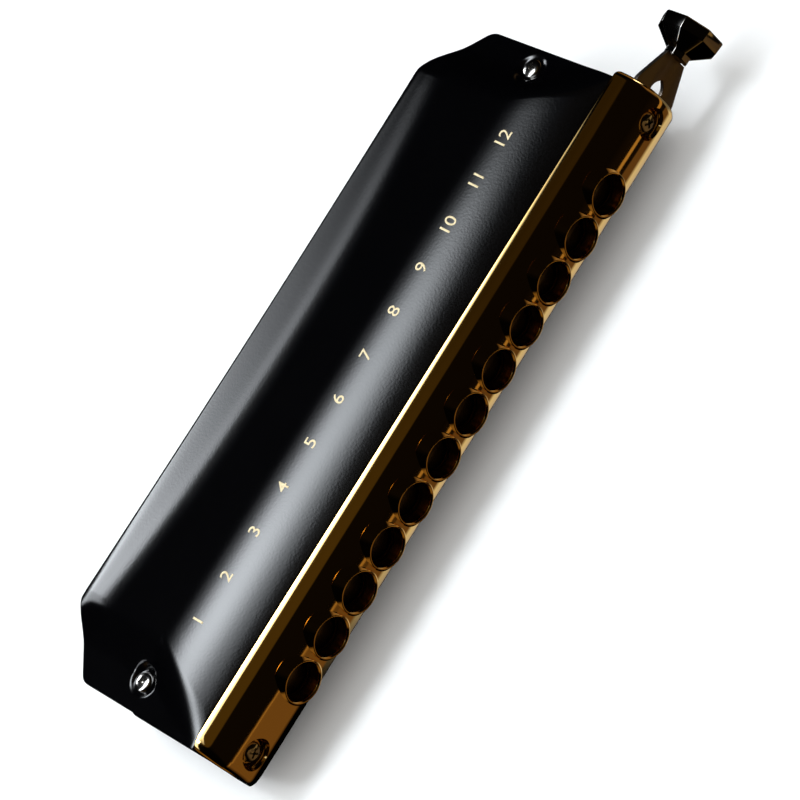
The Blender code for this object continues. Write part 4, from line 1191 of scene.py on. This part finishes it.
# %% A long soft box low behind
def backdrop_light(tree, where):
    """A cloth that is lit from the left, with a row of lamps along its top."""
    axes = add(tree, "ShaderNodeSeparateXYZ", Vector=where)
    along = [(-0.42, 0.0), (-0.30, 0.5), (-0.04, 0.6), (0.005, 0.92), (0.048, 0.87), (0.084, 0.54),
             (0.136, 0.24), (0.184, 0.11), (0.231, 0.046), (0.28, 0.008), (0.36, 0.0)]
    up = [(0.20, 0.0), (0.26, 1.0), (0.33, 0.95), (0.40, 0.8), (0.60, 0.8), (0.72, 0.85), (0.74, 0.0)]
    top_along = [(-0.42, 0.0), (0.013, 0.05), (0.048, 0.11), (0.084, 0.125), (0.136, 0.22),
                 (0.184, 0.19), (0.231, 0.13), (0.28, 0.03), (0.36, 0.0)]
    top_up = [(0.20, 0.0), (0.60, 0.0), (0.66, 1.0), (0.72, 1.0), (0.74, 0.0)]
    both = add(tree, "ShaderNodeMath", {"operation": "ADD"})
    rows = ((along, up), (top_along, top_up))
    for socket, (side_ramp, height_ramp) in zip(both.inputs, rows):
        row = multiplied(
            tree,
            ramp_node(tree, axes.outputs["X"], side_ramp),
            ramp_node(tree, axes.outputs["Y"], height_ramp),
            10.0,
        )
        tree.links.new(row, socket)
    return both.outputs[0]


cloth_and_front_shade = bmesh.new()
bmesh.ops.create_grid(cloth_and_front_shade, x_segments=1, y_segments=1, size=0.5)
bmesh.ops.scale(cloth_and_front_shade, verts=cloth_and_front_shade.verts, vec=(0.78, 0.54, 1.0))
bmesh.ops.translate(cloth_and_front_shade, verts=cloth_and_front_shade.verts, vec=(-0.03, 0.47, 0.0))
glowing("backdrop_box", cloth_and_front_shade, Vector((0, 1.2, 0)), Matrix.Rotation(math.radians(90), 4, "X"), backdrop_light)

# %% [markdown]
# The rest of the room is the world. It is nearly black above the floor. Below
# the horizon it stands for the table that the gloss would mirror. In front of the
# instrument it is dim and brown, which is painted shade for the part of the table in
# the instrument's shadow. It is pale beside the instrument and dark behind it. The
# camera itself sees a plain pale room.


# %% The room
def make_room():
    world = bpy.data.worlds.new("studio")
    world.use_nodes = True
    tree = world.node_tree
    tree.nodes.clear()
    way = add(tree, "ShaderNodeTexCoord").outputs["Generated"]
    axes = add(tree, "ShaderNodeSeparateXYZ", Vector=way)
    across, ahead, up = (axes.outputs[axis] for axis in "XYZ")

    # The edge of the dim brown patch in front of the instrument, which is painted shade, runs askew.
    askew = add(tree, "ShaderNodeMapRange", Value=across, From_Max=0.21, To_Max=0.504)
    shifted = add(tree, "ShaderNodeMath", {"operation": "ADD"})
    tree.links.new(askew.outputs["Result"], shifted.inputs[0])
    tree.links.new(up, shifted.inputs[1])
    # Painted shade: the dim brown in front stands for the floor shaded by the instrument, as the gloss mirrors it.
    near, line, brown = (0.135, 0.072, 0.022), (0.36, 0.21, 0.06), (0.10, 0.054, 0.02)
    black = (0.003, 0.002, 0.001)
    front_shade_left = [(-1.0, near), (-0.12, near), (-0.09, line), (-0.06, near), (-0.03, black), (0.5, black)]
    front_shade_right = [(-1.0, brown), (-0.30, brown), (-0.28, black), (-0.16, black), (-0.14, line),
                   (-0.06, line), (-0.04, black), (0.5, black)]
    to_right = add(tree, "ShaderNodeMapRange", Value=across, From_Min=0.04, From_Max=0.11)
    cloth_and_front_shade = add(tree, "ShaderNodeMix", {"data_type": "RGBA"}, Factor=to_right.outputs["Result"])
    tree.links.new(ramp_node(tree, shifted.outputs[0], front_shade_left), cloth_and_front_shade.inputs[6])
    tree.links.new(ramp_node(tree, shifted.outputs[0], front_shade_right), cloth_and_front_shade.inputs[7])
    left_end = [(-1.0, 0.0), (-0.42, 0.0), (-0.18, 1.0), (1.0, 1.0)]
    in_front = [(-1.0, 1.0), (-0.28, 1.0), (-0.12, 0.0), (1.0, 0.0)]
    front_shade_light = add(
        tree,
        "ShaderNodeBackground",
        Color=cloth_and_front_shade.outputs[2],
        Strength=multiplied(
            tree, ramp_node(tree, across, left_end), ramp_node(tree, ahead, in_front)
        ),
    )

    table = [(-1.0, black), (-0.28, black), (-0.1, (0.62, 0.6, 0.5)), (0.3, (0.5, 0.47, 0.4)),
             (0.5, (0.05, 0.04, 0.03)), (1.0, black)]
    below = [(-1.0, 1.0), (-0.35, 1.0), (-0.1, 0.0), (1.0, 0.0)]
    to_the_right = [(-1.0, 0.0), (0.05, 0.0), (0.09, 1.0), (0.40, 1.0), (0.55, 0.25), (1.0, 0.25)]
    table_light = add(
        tree,
        "ShaderNodeBackground",
        Color=ramp_node(tree, ahead, table),
        Strength=multiplied(tree, ramp_node(tree, up, below), ramp_node(tree, across, to_the_right)),
    )

    dark = (0.0006, 0.0005, 0.0004)
    olive = (0.051, 0.032, 0.006)
    over = [(-0.1, (0, 0, 0)), (0.0, dark), (0.86, dark), (0.885, olive), (1.0, olive)]
    fading = [(-1.0, 1.0), (0.08, 1.0), (0.16, 0.4), (1.0, 0.4)]
    upper_light = add(
        tree,
        "ShaderNodeBackground",
        Color=ramp_node(tree, up, over),
        Strength=ramp_node(tree, across, fading),
    )

    wall = [(-1.0, (0.20, 0.11, 0.03)), (-0.84, (0.16, 0.09, 0.02)), (-0.72, (0, 0, 0)), (0.72, (0, 0, 0)),
            (0.9, (0.2, 0.12, 0.05)), (1.0, (0.2, 0.12, 0.05))]
    low = [(-1.0, 0.0), (-0.6, 0.5), (-0.4, 1.0), (-0.1, 1.0), (0.08, 0.0), (1.0, 0.0)]
    wall_light = add(
        tree,
        "ShaderNodeBackground",
        Color=ramp_node(tree, across, wall),
        Strength=ramp_node(tree, up, low),
    )

    both = front_shade_light
    for light in (table_light, upper_light, wall_light):
        together = add(tree, "ShaderNodeAddShader")
        tree.links.new(both.outputs[0], together.inputs[0])
        tree.links.new(light.outputs[0], together.inputs[1])
        both = together
    pale = add(tree, "ShaderNodeBackground", Color=colour("#f6f6f5"), Strength=1.0)
    path = add(tree, "ShaderNodeLightPath")
    plain = add(tree, "ShaderNodeMath", {"operation": "MAXIMUM"})
    tree.links.new(path.outputs["Is Camera Ray"], plain.inputs[0])
    tree.links.new(path.outputs["Is Diffuse Ray"], plain.inputs[1])
    mixed = add(tree, "ShaderNodeMixShader", Fac=plain.outputs[0])
    tree.links.new(both.outputs[0], mixed.inputs[1])
    tree.links.new(pale.outputs[0], mixed.inputs[2])
    add(tree, "ShaderNodeOutputWorld", Surface=mixed.outputs[0])
    bpy.context.scene.world = world


make_room()
bpy.context.scene.view_settings.view_transform = "Standard"

# %% [markdown]
# ## Camera
#
# The photograph was taken from 45 degrees above the holes' side, a little
# towards the left end, with a long lens, and the camera was turned so that the
# instrument crosses the picture from corner to corner.

# %% Camera
CAMERA_PLACE = Vector((-0.08137, -0.48654, 0.50982))
CAMERA_YAW = math.radians(9.66)
CAMERA_TILT = math.radians(45.44)
CAMERA_ROLL = math.radians(6.96)
PICTURE_TURN = math.radians(57.80)
FOCAL_PIXELS = 3814.8
PICTURE_PIXELS = 800
AIM_SIDE = 7.0
AIM_UP = -31.4


def make_camera():
    ahead = Vector(
        (
            math.sin(CAMERA_YAW) * math.cos(CAMERA_TILT),
            math.cos(CAMERA_YAW) * math.cos(CAMERA_TILT),
            -math.sin(CAMERA_TILT),
        )
    )
    side = Vector((math.cos(CAMERA_YAW), -math.sin(CAMERA_YAW), 0.0))
    up = side.cross(ahead)
    side_turned = side * math.cos(CAMERA_ROLL) + up * math.sin(CAMERA_ROLL)
    up_turned = up * math.cos(CAMERA_ROLL) - side * math.sin(CAMERA_ROLL)
    aim = ahead + side_turned * AIM_SIDE / FOCAL_PIXELS + up_turned * AIM_UP / FOCAL_PIXELS
    aim.normalize()
    right = side_turned * math.cos(PICTURE_TURN) - up_turned * math.sin(PICTURE_TURN)
    right = (right - aim * right.dot(aim)).normalized()
    top = right.cross(aim)
    turn = Matrix((right, top, -aim)).transposed()
    data = bpy.data.cameras.new("camera")
    data.sensor_width = 36.0
    data.lens = 36.0 * FOCAL_PIXELS / PICTURE_PIXELS
    camera = bpy.data.objects.new("camera", data)
    camera.matrix_world = Matrix.Translation(CAMERA_PLACE) @ turn.to_4x4()
    bpy.context.scene.collection.objects.link(camera)
    bpy.context.scene.camera = camera
    print("camera: lens", round(data.lens, 1), "mm, place", tuple(round(v, 3) for v in CAMERA_PLACE))


make_camera()
